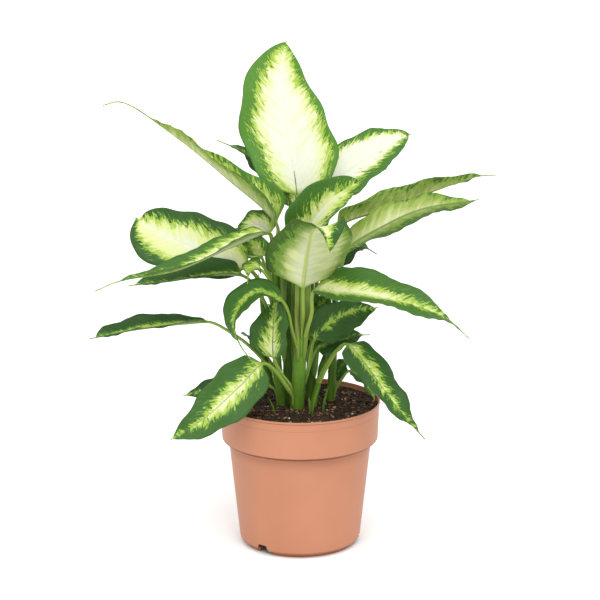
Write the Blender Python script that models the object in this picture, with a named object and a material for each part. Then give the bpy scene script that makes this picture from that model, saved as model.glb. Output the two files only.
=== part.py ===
"""A dieffenbachia in a terracotta-coloured plastic nursery pot.

Metres, +Z up. The origin is the centre of the pot's foot, on the surface that the pot stands on. -Y is the
side that faces the viewer and +X is to the viewer's right. The tables of stems and leaves are in millimetres,
because each point in them was placed by hand, and MM turns them into metres.
"""

import math
from collections import namedtuple

import bmesh
import bpy
import numpy as np
from mathutils import Vector, noise

MM = 0.001

# Gaps: soil to pot and leaf to the top of its stem, stem to the side of its hole, petiole to its stem's side
SEAT_GAP = 0.3
HOLE_GAP = 0.6
PETIOLE_GAP = 0.6

# Pot, in millimetres
POT_SIDES = 40
RIM_RADIUS = 85.0
POT_HEIGHT = 155.6
COLLAR_HEIGHT = 40.2
COLLAR_FOOT_RADIUS = 82.9
NECK_RADIUS = 75.5
NECK_DROP = 5.5
BODY_FOOT_RADIUS = 64.4
BODY_FOOT_HEIGHT = 6.4
SKIRT_FOOT_RADIUS = 63.2
SKIRT_FOOT_HEIGHT = 4.6
FOOT_RADIUS = 58.2
FOOT_RING_WIDTH = 3.2
WALL = 1.6
FLOOR_UNDERSIDE = 2.5
CENTRE_PAD_RADIUS = 18.0
LIP_WIDTH = 0.6
LIP_HEIGHT = 2.2
EDGE_ROUNDING = 1.1
EDGE_STEPS = 2
SHARP_ANGLE = math.radians(25.0)

# Drain slots in the pot's foot, evenly spaced from the one at the front left
SLOT_COUNT = 3
SLOT_ANGLE = math.radians(-128.0)
SLOT_INNER_RADIUS = 49.0
SLOT_OUTER_RADIUS = 70.0
SLOT_TOP_WIDTH = 10.0
SLOT_FOOT_WIDTH = 19.0
SLOT_HEIGHT = 11.0

# Soil: each kind of lump has a frequency per millimetre and a height
SOIL_RINGS = 8
SOIL_EDGE_HEIGHT = 150.2
SOIL_MOUND = 2.6
SOIL_LUMPS = ((0.06, 1.6), (0.17, 1.0))
SOIL_LEVEL_EDGE = 6
STEM_DEPTH = 34.0
HOLE_RISE = 20.0

# Stems
STEM_SIDES = 12
STEM_RINGS = 7

# Petioles: thicker on wide leaves and near the stem, with a pointed foot that lies along the stem
PETIOLE_RINGS = 5
PETIOLE_RADIUS = 1.1
PETIOLE_GROWTH = 0.012
SHEATH = 1.4
FOOT_SHARE = 0.35
FOOT_LENGTH = 0.3
HUG_LENGTH = 12.0
HUG_SHARE = 0.4

# Blades: places across one from its left edge to its right edge, rings along it and its thickness
ACROSS = (-1.0, -0.5, 0.0, 0.5, 1.0)
BLADE_RINGS = 14
SMALL_BLADE_RINGS = 9
SMALL_BLADE_WIDTH = 30
EDGE_HALF_THICKNESS = 0.35
RIB_BASE_DEPTH = 2.0
RIB_TIP_DEPTH = 0.3
TAIL_HALF_WIDTH = 0.9
TIP_HALF_WIDTH = 0.4
COLLAR_LENGTH = 0.07
FOLDED_HALF_WIDTH = 4.0

# Wavy edges: the ripple out of the blade and the scallops in it, both less at its ends and where it is narrow
WAVES = 2.3
WAVE_SHIFT = 1.2
WAVE_START = 0.15
WAVE_END = 0.2
WAVY_HALF_WIDTH = 9.0
SCALLOP = 0.8
SCALLOPS = 3.2
SCALLOP_SHIFT = 2.0

Stem = namedtuple("Stem", "name knots foot_radius top_radius")

STEMS = (
    Stem("stem_main", [(-3, -20, 150), (-1, -21, 190), (1, -20, 235), (1, -15, 290), (-2, -9, 345)],
         7.6, 3.2),
    Stem("stem_left", [(-20, -9, 150), (-24, -8, 200), (-27, -7, 260), (-25, -8, 322)], 5.2, 2.8),
    Stem("stem_right", [(13, -19, 150), (16, -19, 165), (20, -20, 181)], 4.2, 3.0),
    Stem("stem_right_back", [(33, 11, 150), (35, 12, 200), (37, 11, 260), (36, 9, 315)], 4.8, 2.8),
    Stem("stem_back", [(-4, 27, 150), (-7, 29, 220), (-10, 27, 300), (-9, 23, 345)], 5.0, 2.8),
    Stem("stem_inner_left", [(-12, 3, 150), (-13, 4, 200), (-12, 5, 250), (-11, 6, 298)], 5.6, 3.6),
    Stem("stem_inner_right", [(11, 6, 150), (12, 7, 210), (12, 8, 260), (10, 9, 300)], 5.4, 3.6),
)

# A leaf's petiole leaves its stem at a height, or carries on from the stem's top where the height is None.
# Petiole and midrib are points along the leaf: the blade starts at the petiole's last point. The face vectors
# say where the upper side looks at the blade's base and at its tip. Fold and curl are degrees by which each
# half blade rises at the midrib and bends further out to its edge, less where it is narrow. Skew moves the
# widest place of the right half towards the base and that of the left half towards the tip. A blunt tip has a
# low taper, and a broad base a low base.
Leaf = namedtuple(
    "Leaf",
    "name stem height petiole midrib face_base face_tip width fold curl wave skew taper tail base",
    defaults=(8, 1.5, 0.0, 0.8, 0.06, 0.42),
)

LEAVES = (
    Leaf("leaf_crown", "stem_main", None, [(-3, -5, 375)],
         [(-14, 18, 446), (-17, 32, 501), (-14, 42, 531)],
         (0.05, -1, 0.2), (0, -1, 0.1), 97, 6, 4, 2.0, skew=0.5, taper=0.72, tail=0.01),
    Leaf("leaf_upper_right", "stem_main", 330, [(14, 2, 356), (20, 10, 378)],
         [(42, 24, 392), (79, 46, 412), (118, 65, 430)],
         (-0.1, -0.8, 0.6), (-0.2, -0.7, 0.7), 60, 8, 6, 2.0, skew=0.4, taper=0.6, tail=0.02),
    Leaf("leaf_front", "stem_main", 290, [(-6, -30, 312), (0, -30, 332)],
         [(19, -38, 364), (37, -38, 383), (52, -33, 391), (67, -25, 399)],
         (-0.2, -0.85, 0.5), (-0.1, -0.8, 0.6), 58, 34, 2, 1.5),
    Leaf("leaf_cupped", "stem_main", 232, [(3, -39, 262), (3, -43, 287)],
         [(8, -64, 332), (14, -90, 359), (23, -108, 361), (30, -113, 339)],
         (0, 0.9, 0.4), (0.28, -0.55, 0.8), 90, 10, 24, 1.0, skew=0.6, taper=0.9, tail=0.02, base=0.3),
    Leaf("leaf_left_long", "stem_left", None, [(-24, -10, 347)],
         [(-75, -18, 398), (-131, -25, 445), (-180, -30, 477), (-199, -32, 474)],
         (-0.3, -0.3, 0.9), (0.1, -0.3, 0.95), 50, 52, 4, 2.5, skew=0.45, taper=1.9, tail=0.12),
    Leaf("leaf_behind_crown", "stem_back", None, [(-12, 22, 368)],
         [(-30, 34, 388), (-60, 60, 411), (-89, 80, 421)],
         (-0.3, -0.5, 0.8), (0, -0.4, 0.9), 28, 30, tail=0.16),
    Leaf("leaf_left_oval", "stem_left", 262, [(-40, -14, 285), (-54, -15, 302)],
         [(-105, -4, 319), (-140, 4, 333), (-172, 10, 351)],
         (-0.2, -0.85, 0.5), (-0.1, -0.85, 0.5), 72, 5, 4, 1.5, skew=0.5, taper=0.36, tail=0.02),
    Leaf("leaf_left_small", "stem_left", 300, [(-29, 10, 320), (-32, 22, 330)],
         [(-42, 32, 338), (-56, 42, 334), (-64, 48, 322)],
         (-0.3, -0.6, 0.7), (-0.5, -0.8, 0.3), 34, 8, tail=0.02),
    Leaf("leaf_left_narrow", "stem_left", 296, [(-28, -22, 333), (-32, -26, 342)],
         [(-69, -45, 332), (-123, -70, 313), (-181, -92, 306), (-204, -101, 298)],
         (-0.1, -0.1, 1), (0, -0.2, 1), 34, 30, 6, 2.0, tail=0.14),
    Leaf("leaf_left_level", "stem_left", 240, [(-44, -20, 280), (-58, -26, 296)],
         [(-87, -35, 300), (-137, -55, 297), (-173, -68, 296)],
         (-0.1, -0.3, 0.95), (-0.1, -0.3, 0.95), 46, 24, 6, 1.5, tail=0.05),
    Leaf("leaf_left_low", "stem_left", 178, [(-53, -20, 220), (-73, -24, 236), (-93, -26, 247)],
         [(-119, -30, 247), (-172, -43, 243), (-216, -60, 238)],
         (0.1, -0.15, 1), (-0.1, -0.3, 0.95), 34, 24, 6, 1.8, taper=0.6, base=0.8),
    Leaf("leaf_hooked", "stem_main", 208, [(-8, -37, 240), (-17, -41, 272)],
         [(-43, -51, 286), (-59, -58, 276), (-68, -63, 256), (-62, -68, 235), (-45, -74, 213)],
         (-0.3, -0.5, 0.8), (-0.9, -0.4, -0.2), 36, 14, 6, 1.5, tail=0.25, base=0.75),
    Leaf("leaf_small_facing", "stem_main", 168, [(-19, -31, 192), (-27, -33, 210)],
         [(-28, -34, 229), (-27, -30, 250), (-25, -20, 269)],
         (-0.6, -0.8, 0.3), (-0.5, -0.85, 0.1), 52, 18, 8, 1.0, skew=-0.2, taper=0.85, tail=0.02, base=0.6),
    Leaf("leaf_front_left", "stem_main", 158, [(-14, -36, 180), (-28, -44, 202), (-38, -50, 209)],
         [(-60, -66, 191), (-97, -88, 162), (-131, -104, 144)],
         (0.2, -0.8, 0.6), (0.2, -0.75, 0.6), 53, 8, 6, 1.5, skew=0.1, tail=0.02),
    Leaf("leaf_low_left_back", "stem_left", 165, [(-40, 2, 174), (-53, 8, 176)],
         [(-74, 6, 171), (-100, 0, 166), (-124, -5, 161)],
         (0, -0.7, 0.7), (0, -0.7, 0.7), 26, 12, tail=0.05),
    Leaf("leaf_right", "stem_main", 222, [(12, -37, 260), (14, -40, 283)],
         [(48, -59, 287), (80, -72, 286), (115, -84, 280), (146, -92, 269), (170, -98, 248)],
         (0, -0.4, 0.92), (0.3, -0.5, 0.8), 62, 18, 6, 2.0, skew=-0.4, tail=0.1, base=0.36),
    Leaf("leaf_right_upper", "stem_right_back", None, [(38, 7, 340)],
         [(88, 4, 361), (145, 0, 383), (180, -3, 396), (202, -4, 398)],
         (0.1, 0.65, 0.75), (0.1, 0.65, 0.75), 39, 24, 10, 2.5, tail=0.08),
    Leaf("leaf_right_second", "stem_right_back", 255, [(42, -6, 295), (50, -9, 321)],
         [(87, -14, 347), (125, -18, 365), (183, -24, 376)],
         (0.0, 1, 0.1), (0.1, 0.9, 0.4), 38, 30, 4, 2.0, skew=0.4, taper=0.65, tail=0.04),
    Leaf("leaf_right_small_dark", "stem_right_back", 250, [(40, 22, 280), (38, 24, 294)],
         [(49, 28, 308), (64, 34, 315), (82, 40, 305)],
         (0, -0.5, 0.85), (0.3, -0.4, 0.85), 28, 14, tail=0.2),
    Leaf("leaf_right_inner", "stem_main", 188, [(11, -19, 210), (15, -18, 226)],
         [(33, -21, 246), (54, -27, 259), (82, -34, 265)],
         (0.1, -0.95, 0.15), (0.2, -0.9, 0.2), 43, 14, 4, skew=-0.3, tail=0.05),
    Leaf("leaf_right_folded", "stem_main", 200, [(12, -12, 222)],
         [(14, -6, 238), (20, -6, 256), (31, -8, 275)],
         (-0.3, -0.9, 0.2), (-0.3, -0.9, 0.2), 32, 16, tail=0.05),
    Leaf("leaf_right_under", "stem_main", 172, [(11, -10, 198), (17, -9, 212)],
         [(34, -9, 221), (56, -5, 227), (74, 3, 226)],
         (0.1, -0.7, 0.7), (0.1, -0.6, 0.8), 32, 14, tail=0.15),
    Leaf("leaf_front_right", "stem_right", None, [(26, -25, 196), (38, -36, 219), (48, -47, 229)],
         [(65, -60, 214), (82, -78, 194), (100, -90, 172), (127, -99, 143)],
         (0.4, -0.6, 0.7), (0.5, -0.65, 0.55), 43, 6, 6, 2.0, skew=0.3, tail=0.1, base=0.3),
    Leaf("leaf_right_small_back", "stem_right_back", 158, [(36, 22, 170)],
         [(42, 23, 182), (49, 24, 193)],
         (-0.3, -0.8, 0.5), (-0.3, -0.8, 0.5), 20, 8, taper=0.5, tail=0.02),
    Leaf("leaf_right_small_low", "stem_right_back", 158, [(44, 0, 178), (52, -4, 188)],
         [(66, -8, 182), (74, -11, 170), (79, -13, 158)],
         (0.4, -0.6, 0.7), (0.6, -0.7, 0.4), 20, 10),
    Leaf("leaf_pale_left", "stem_left", 290, [(-36, -10, 303), (-40, -16, 315)],
         [(-44, -22, 326), (-50, -24, 335)],
         (-0.4, -0.8, 0.3), (-0.4, -0.8, 0.3), 26, 10, taper=0.5, tail=0.02),
    Leaf("leaf_pale_drooping", "stem_left", 272, [(-31, -23, 291), (-41, -29, 304)],
         [(-48, -34, 307), (-53, -40, 301), (-54, -45, 292)],
         (-0.3, -0.6, 0.7), (-0.8, -0.6, 0.1), 24, 12, tail=0.3),
    Leaf("leaf_rolled", "stem_main", 338, [(-5, -20, 360)],
         [(-3, -19, 378), (-6, -15, 404)],
         (0.2, -0.9, 0.3), (0.2, -0.9, 0.3), 7, 60, wave=0.0, tail=0.5),
    Leaf("leaf_back_high", "stem_back", 300, [(-6, 48, 328), (-4, 64, 346)],
         [(4, 106, 370), (12, 146, 372), (16, 178, 356)],
         (0, -0.3, 0.9), (0.1, 0.4, 0.9), 58, 12),
    Leaf("leaf_back_left", "stem_back", 240, [(-32, 50, 278), (-44, 62, 292)],
         [(-70, 92, 308), (-98, 122, 306), (-118, 144, 290)],
         (0.2, -0.3, 0.9), (-0.3, 0.3, 0.9), 56, 12),
    Leaf("leaf_back_right", "stem_back", 222, [(18, 54, 242), (30, 68, 250)],
         [(62, 100, 256), (92, 128, 246), (110, 146, 230)],
         (-0.2, -0.3, 0.9), (0.3, 0.3, 0.9), 54, 12),
    Leaf("leaf_back_low", "stem_back", 185, [(-8, 50, 210), (-8, 64, 220)],
         [(-8, 98, 228), (-6, 132, 216), (-4, 158, 192)],
         (0, -0.3, 0.9), (0, 0.6, 0.8), 56, 12),
    Leaf("leaf_back_low_left", "stem_left", 180, [(-37, 20, 200), (-41, 32, 205)],
         [(-42, 56, 206), (-42, 86, 197), (-42, 108, 182)],
         (0.2, -0.3, 0.9), (-0.2, 0.4, 0.8), 44, 12),
    Leaf("leaf_back_low_right", "stem_right_back", 192, [(42, 34, 212), (44, 46, 219)],
         [(46, 76, 220), (47, 102, 208), (46, 120, 192)],
         (-0.1, -0.3, 0.9), (0.2, 0.4, 0.8), 44, 12),
)


def unit(vector):
    """A vector of length one along the given one."""
    return vector / np.linalg.norm(vector)


def ease(amount):
    """Zero to one with a soft start and end."""
    amount = min(max(amount, 0.0), 1.0)
    return amount * amount * (3.0 - 2.0 * amount)


class Path:
    """A smooth curve through its knots, read by the distance along it."""

    STEPS = 24
    HEADING_REACH = 0.01

    def __init__(self, knots):
        knots = np.array(knots, dtype=float)
        ends = np.vstack([2 * knots[0] - knots[1], knots, 2 * knots[-1] - knots[-2]])
        points = []
        for a, b, c, d in zip(ends, ends[1:], ends[2:], ends[3:]):
            points.extend(self.span(a, b, c, d))
        points.append(knots[-1])
        self.points = np.array(points)
        lengths = np.linalg.norm(np.diff(self.points, axis=0), axis=1)
        self.along = np.concatenate([[0.0], np.cumsum(lengths)])
        self.knot_along = self.along[:: self.STEPS]

    def span(self, a, b, c, d):
        """Points of the centripetal curve from b up to c, with a and d as its neighbours."""
        times = np.cumsum([0.0] + [math.sqrt(np.linalg.norm(q - p)) for p, q in ((a, b), (b, c), (c, d))])
        for step in range(self.STEPS):
            t = times[1] + (times[2] - times[1]) * step / self.STEPS
            ab, bc, cd = (
                ((high - t) * p + (t - low) * q) / (high - low)
                for p, q, low, high in zip((a, b, c), (b, c, d), times, times[1:])
            )
            abc = ((times[2] - t) * ab + (t - times[0]) * bc) / (times[2] - times[0])
            bcd = ((times[3] - t) * bc + (t - times[1]) * cd) / (times[3] - times[1])
            yield ((times[2] - t) * abc + (t - times[1]) * bcd) / (times[2] - times[1])

    def place(self, distance):
        """The point at a distance along the curve."""
        return np.array([np.interp(distance, self.along, self.points[:, axis]) for axis in range(3)])

    def heading(self, distance):
        """The direction of the curve at a distance along it."""
        reach = self.along[-1] * self.HEADING_REACH
        return unit(self.place(distance + reach) - self.place(distance - reach))

    def at_height(self, height):
        """The point where an upward curve passes a height."""
        return self.place(np.interp(height, self.points[:, 2], self.along))


def clear_scene():
    """Remove everything, so that the script gives the same result each run."""
    for obj in list(bpy.data.objects):
        bpy.data.objects.remove(obj, do_unlink=True)
    for mesh in list(bpy.data.meshes):
        bpy.data.meshes.remove(mesh)


def material(name, colour, roughness):
    """A plain material of one colour."""
    surface = bpy.data.materials.new(name)
    surface.use_nodes = True
    shader = surface.node_tree.nodes["Principled BSDF"]
    shader.inputs["Base Color"].default_value = (*colour, 1.0)
    shader.inputs["Roughness"].default_value = roughness
    surface.diffuse_color = (*colour, 1.0)
    return surface


def add_mesh(name, points, faces, surface):
    """A named object from points in millimetres and faces."""
    mesh = bpy.data.meshes.new(name)
    mesh.from_pydata([tuple(np.asarray(point) * MM) for point in points], [], faces)
    mesh.materials.append(surface)
    mesh.update()
    obj = bpy.data.objects.new(name, mesh)
    bpy.context.scene.collection.objects.link(obj)
    return obj


def lofted(name, rings, surface):
    """A closed solid through rings that all have the same even number of points, with flat caps.

    The two halves of a ring are the upper and the lower side of a blade. Both are split into triangles alike,
    so they don't cross where the blade is thin, and a cap joins the point of one half to that of the other.
    """
    rings = [np.asarray(ring) for ring in rings]
    sides = len(rings[0])
    faces = []
    for ring in range(len(rings) - 1):
        low = ring * sides
        high = low + sides
        for side in range(sides):
            after = (side + 1) % sides
            a, b, c, d = low + side, low + after, high + after, high + side
            if side >= sides // 2:
                a, b, c, d = b, c, d, a
            faces.append((a, b, c))
            faces.append((a, c, d))
    last = (len(rings) - 1) * sides
    for side in range(sides // 2 - 1):
        a, b, c, d = side, side + 1, sides - 2 - side, sides - 1 - side
        faces.append((a, c, b))
        faces.append((a, d, c))
        faces.append((last + a, last + b, last + c))
        faces.append((last + a, last + c, last + d))
    return add_mesh(name, np.vstack(rings), faces, surface)


def spun(name, profile, sides, surface):
    """A solid turned about the vertical axis from a profile that starts and ends on it."""
    work = bmesh.new()
    corners = [work.verts.new((radius * MM, 0.0, height * MM)) for radius, height in profile]
    edges = [work.edges.new(pair) for pair in zip(corners, corners[1:])]
    bmesh.ops.spin(work, geom=corners + edges, cent=(0, 0, 0), axis=(0, 0, 1), angle=math.tau, steps=sides,
                   use_merge=True)
    bmesh.ops.remove_doubles(work, verts=work.verts, dist=0.01 * MM)
    bmesh.ops.recalc_face_normals(work, faces=work.faces)
    mesh = bpy.data.meshes.new(name)
    work.to_mesh(mesh)
    work.free()
    mesh.materials.append(surface)
    mesh.shade_smooth()
    mesh.set_sharp_from_angle(angle=SHARP_ANGLE)
    obj = bpy.data.objects.new(name, mesh)
    bpy.context.scene.collection.objects.link(obj)
    return obj


def cut(obj, cutter):
    """Cut one object's shape out of another."""
    cutter.hide_render = True
    cutter.display_type = "WIRE"
    boolean = obj.modifiers.new(cutter.name, "BOOLEAN")
    boolean.operation = "DIFFERENCE"
    boolean.solver = "EXACT"
    boolean.object = cutter


def pot_outside():
    """The corners of the pot's outer profile, from the axis to the rim: radius, height and rounding."""
    collar_foot = POT_HEIGHT - COLLAR_HEIGHT
    return [
        (0.0, 0.0, 0.0),
        (CENTRE_PAD_RADIUS, 0.0, 0.0),
        (CENTRE_PAD_RADIUS + FLOOR_UNDERSIDE, FLOOR_UNDERSIDE, 0.0),
        (FOOT_RADIUS - FOOT_RING_WIDTH, FLOOR_UNDERSIDE, 0.0),
        (FOOT_RADIUS - FOOT_RING_WIDTH, 0.0, 0.0),
        (FOOT_RADIUS, 0.0, 0.0),
        (FOOT_RADIUS, SKIRT_FOOT_HEIGHT, 0.0),
        (SKIRT_FOOT_RADIUS, SKIRT_FOOT_HEIGHT, 0.0),
        (BODY_FOOT_RADIUS, BODY_FOOT_HEIGHT, EDGE_ROUNDING),
        (NECK_RADIUS, collar_foot - NECK_DROP, 0.0),
        (COLLAR_FOOT_RADIUS, collar_foot, EDGE_ROUNDING),
        (RIM_RADIUS - LIP_WIDTH, POT_HEIGHT - LIP_HEIGHT, 0.0),
        (RIM_RADIUS, POT_HEIGHT - LIP_HEIGHT + LIP_WIDTH, 0.0),
        (RIM_RADIUS, POT_HEIGHT, LIP_WIDTH),
    ]


def pot_inside(gap=0.0):
    """The corners of the pot's inner profile, from the rim down to the axis, drawn in by a gap."""
    collar_foot = POT_HEIGHT - COLLAR_HEIGHT
    inset = WALL + gap
    return [
        (RIM_RADIUS - inset, POT_HEIGHT, 0.0),
        (COLLAR_FOOT_RADIUS - inset, collar_foot + inset, 0.0),
        (NECK_RADIUS - inset, collar_foot - NECK_DROP + gap, 0.0),
        (BODY_FOOT_RADIUS - inset, BODY_FOOT_HEIGHT + gap, 0.0),
        (FOOT_RADIUS - gap, SKIRT_FOOT_HEIGHT + inset, 0.0),
        (FOOT_RADIUS - inset, FLOOR_UNDERSIDE + inset, 0.0),
        (0.0, FLOOR_UNDERSIDE + inset, 0.0),
    ]


def rounded(corners, steps):
    """The points of a profile, with each corner that has a rounding turned into a short curve."""
    places = [Vector(corner[:2]) for corner in corners]
    points = []
    for index, (*_, rounding) in enumerate(corners):
        place = places[index]
        if not rounding:
            points.append(place)
            continue
        before = place + (places[index - 1] - place).normalized() * rounding
        after = place + (places[index + 1] - place).normalized() * rounding
        for step in range(steps + 1):
            share = step / steps
            points.append(before.lerp(place, share).lerp(place.lerp(after, share), share))
    return points


def slot_cutter(index):
    """A tapered block that cuts one drain slot through the pot's foot."""
    half_top, half_foot = SLOT_TOP_WIDTH / 2, SLOT_FOOT_WIDTH / 2
    ring = [(-half_foot, -SLOT_HEIGHT), (half_foot, -SLOT_HEIGHT), (half_foot, 0.0), (half_top, SLOT_HEIGHT),
            (-half_top, SLOT_HEIGHT), (-half_foot, 0.0)]
    radii = (SLOT_INNER_RADIUS, SLOT_OUTER_RADIUS)
    rings = [[(radius, across, height) for across, height in ring] for radius in radii]
    cutter = lofted(f"cutter_slot_{index + 1}", rings, None)
    cutter.rotation_euler.z = SLOT_ANGLE + math.tau * index / SLOT_COUNT
    return cutter


def make_pot(surface):
    """The pot, with its drain slots."""
    pot = spun("pot", rounded(pot_outside() + pot_inside(), EDGE_STEPS), POT_SIDES, surface)
    for index in range(SLOT_COUNT):
        cut(pot, slot_cutter(index))
    return pot


def soil_height(x, y, radius):
    """The height of the soil's surface: low at the pot's wall, mounded at the stems, and uneven."""
    share = math.hypot(x, y) / radius
    place = Vector((x, y, 0.0))
    lumps = sum(height * noise.noise(place * frequency) for frequency, height in SOIL_LUMPS)
    return SOIL_EDGE_HEIGHT + SOIL_MOUND * (1.0 - ease(share)) + lumps * (1.0 - share ** SOIL_LEVEL_EDGE)


def level_ring(centre, radius, sides):
    """A level ring of points round a centre."""
    turns = (math.tau * side / sides for side in range(sides))
    return [centre + radius * np.array([math.cos(turn), math.sin(turn), 0.0]) for turn in turns]


def make_soil(surface):
    """The soil: it fills the pot and has an uneven top."""
    wall = [corner[:2] for corner in reversed(pot_inside(SEAT_GAP))]
    radii, heights = zip(*wall)
    top_radius = float(np.interp(SOIL_EDGE_HEIGHT, heights, radii))
    rings = [level_ring(np.array([0.0, 0.0, height]), radius, POT_SIDES) for radius, height in wall
             if 0.0 < radius and height < SOIL_EDGE_HEIGHT]
    for step in range(SOIL_RINGS):
        ring = level_ring(np.zeros(3), top_radius * (1.0 - step / SOIL_RINGS), POT_SIDES)
        rings.append([(x, y, soil_height(x, y, top_radius)) for x, y, _ in ring])
    return lofted("soil", rings, surface)


def stem_path(stem):
    """The stem's middle line, from its foot in the soil to its top."""
    x, y, height = stem.knots[0]
    return Path([(x, y, height - STEM_DEPTH), (x, y, height - STEM_DEPTH / 2)] + list(stem.knots))


def stem_radius(stem, height):
    """The stem's radius at a height."""
    low, high = stem.knots[0][2], stem.knots[-1][2]
    return stem.foot_radius + (stem.top_radius - stem.foot_radius) * ease((height - low) / (high - low))


def make_stem(stem, soil, surface):
    """A stem and the plain hole in the soil that it stands in."""
    path = stem_path(stem)
    rings = []
    for step in range(STEM_RINGS):
        centre = path.place(path.along[-1] * step / (STEM_RINGS - 1))
        rings.append(level_ring(centre, stem_radius(stem, centre[2]), STEM_SIDES))
    foot = path.points[0]
    ends = [foot - (0, 0, SEAT_GAP), foot + (0, 0, STEM_DEPTH + HOLE_RISE)]
    hole = [level_ring(end, stem.foot_radius + HOLE_GAP, STEM_SIDES) for end in ends]
    cut(soil, lofted(f"cutter_hole_{stem.name}", hole, None))
    return lofted(stem.name, rings, surface)


def stem_of(leaf):
    """The stem that a leaf grows from."""
    return next(stem for stem in STEMS if stem.name == leaf.stem)


def petiole_radius(leaf, share):
    """The petiole's radius at a share of its length. On the side of a stem it starts as a point."""
    end = PETIOLE_RADIUS + PETIOLE_GROWTH * leaf.width
    if leaf.height is None:
        return stem_of(leaf).top_radius * (1.0 - share) + end * share
    pointed = FOOT_SHARE + (1.0 - FOOT_SHARE) * ease(share / FOOT_LENGTH)
    return end * (SHEATH * (1.0 - share) + share) * pointed


def leaf_path(leaf):
    """The leaf's line from its stem to its tip, and the knot where its blade starts."""
    stem = stem_of(leaf)
    axis = stem_path(stem)
    start = [axis.points[-1] + (0, 0, SEAT_GAP)]
    if leaf.height is not None:
        first = np.array(leaf.petiole[0], dtype=float)
        outward = unit((first - axis.at_height(leaf.height)) * (1, 1, 0))
        rise = min(HUG_LENGTH, HUG_SHARE * (first[2] - leaf.height))
        start = []
        for height, share in ((leaf.height, 0.0), (leaf.height + rise, FOOT_LENGTH)):
            reach = stem_radius(stem, height) + PETIOLE_GAP + petiole_radius(leaf, share)
            start.append(axis.at_height(height) + outward * reach)
    knots = start + [np.array(knot, dtype=float) for knot in leaf.petiole + leaf.midrib]
    return Path(knots), len(start) + len(leaf.petiole) - 1


def waviness(along, half):
    """How wavy an edge is at a share of a blade's length: zero at its ends and less where it is narrow."""
    return ease(along / WAVE_START) * ease((1.0 - along) / WAVE_END) * ease(half / WAVY_HALF_WIDTH)


def outline(leaf, along, side):
    """Half the blade's width at a share of its length, on the side -1 or 1."""
    shifted = along + side * leaf.skew * along * (1.0 - along)
    body = min(shifted / (1.0 - leaf.tail), 1.0)
    widest = leaf.base / (leaf.base + leaf.taper)
    swell = (body / widest) ** leaf.base * ((1.0 - body) / (1.0 - widest)) ** leaf.taper
    half = leaf.width / 2 * swell
    turn = math.tau * SCALLOPS * along + leaf.width + (SCALLOP_SHIFT if side < 0 else 0.0)
    scallop = SCALLOP * leaf.wave * waviness(along, half) * math.sin(turn)
    tail = TAIL_HALF_WIDTH + (TIP_HALF_WIDTH - TAIL_HALF_WIDTH) * along
    return max(half + scallop, tail)


def crowded(share):
    """A share of a length that lies closer to its nearer end than the given one."""
    return 0.5 * share + 0.25 * (1.0 - math.cos(math.pi * share))


def section(across, fold, curl):
    """How far out and up a place on a half blade lies, for a half blade one unit wide."""
    reach = abs(across)
    if abs(curl) < 1e-3:
        return reach * math.cos(fold), reach * math.sin(fold)
    end = fold + curl * reach
    return (math.sin(end) - math.sin(fold)) / curl, (math.cos(fold) - math.cos(end)) / curl


def leaf_ring(leaf, along, radius, centre, heading, right):
    """The ten points round the leaf at a share of the blade's length, which is zero on the petiole."""
    up = np.cross(right, heading)
    flat = ease(along / COLLAR_LENGTH)
    rib = RIB_BASE_DEPTH + (RIB_TIP_DEPTH - RIB_BASE_DEPTH) * along
    upper, lower = [], []
    for index, across in enumerate(ACROSS):
        side = math.copysign(1.0, across)
        half = outline(leaf, along, side)
        folded = min(half / FOLDED_HALF_WIDTH, 1.0)
        fold, curl = folded * math.radians(leaf.fold), folded * math.radians(leaf.curl)
        out, rise = section(across, fold, curl)
        tilt = side * (fold + curl * abs(across)) if across else 0.0
        normal = math.cos(tilt) * up - math.sin(tilt) * right
        waves = math.sin(math.tau * WAVES * along + WAVE_SHIFT * side)
        ripple = leaf.wave * waviness(along, half) * across ** 2 * waves
        middle = centre + side * half * out * right + half * rise * up + ripple * normal
        thick_below = EDGE_HALF_THICKNESS + rib * (1.0 - abs(across)) ** 2
        turn = math.pi * (1.0 - (index + 0.5) / len(ACROSS))
        round_upper = centre + radius * (math.cos(turn) * right + math.sin(turn) * up)
        round_lower = centre + radius * (math.cos(turn) * right - math.sin(turn) * up)
        upper.append((1.0 - flat) * round_upper + flat * (middle + EDGE_HALF_THICKNESS * normal))
        lower.append((1.0 - flat) * round_lower + flat * (middle - thick_below * normal))
    return upper + lower[::-1]


def leaf_rings(leaf):
    """All rings of a leaf, from its stem to its tip."""
    path, base_knot = leaf_path(leaf)
    base = path.knot_along[base_knot]
    length = path.along[-1] - base
    face_base, face_tip = (unit(np.array(face, dtype=float)) for face in (leaf.face_base, leaf.face_tip))
    blade_rings = BLADE_RINGS if leaf.width > SMALL_BLADE_WIDTH else SMALL_BLADE_RINGS
    rings = []
    for step in reversed(range(blade_rings + 1)):
        share = crowded(step / blade_rings)
        distance = base + length * share
        heading = path.heading(distance)
        right = unit(np.cross(heading, face_base + (face_tip - face_base) * share))
        rings.append(leaf_ring(leaf, share, petiole_radius(leaf, 1.0), path.place(distance), heading, right))
    for step in reversed(range(PETIOLE_RINGS)):
        share = step / PETIOLE_RINGS
        heading = path.heading(base * share) if step or leaf.height else np.array([0.0, 0.0, 1.0])
        right = unit(right - np.dot(right, heading) * heading)
        centre = path.place(base * share)
        rings.append(leaf_ring(leaf, 0.0, petiole_radius(leaf, share), centre, heading, right))
    return rings[::-1]


def make_leaf(leaf, surface):
    """A leaf: petiole, midrib and blade in one solid."""
    return lofted(leaf.name, leaf_rings(leaf), surface)


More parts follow.
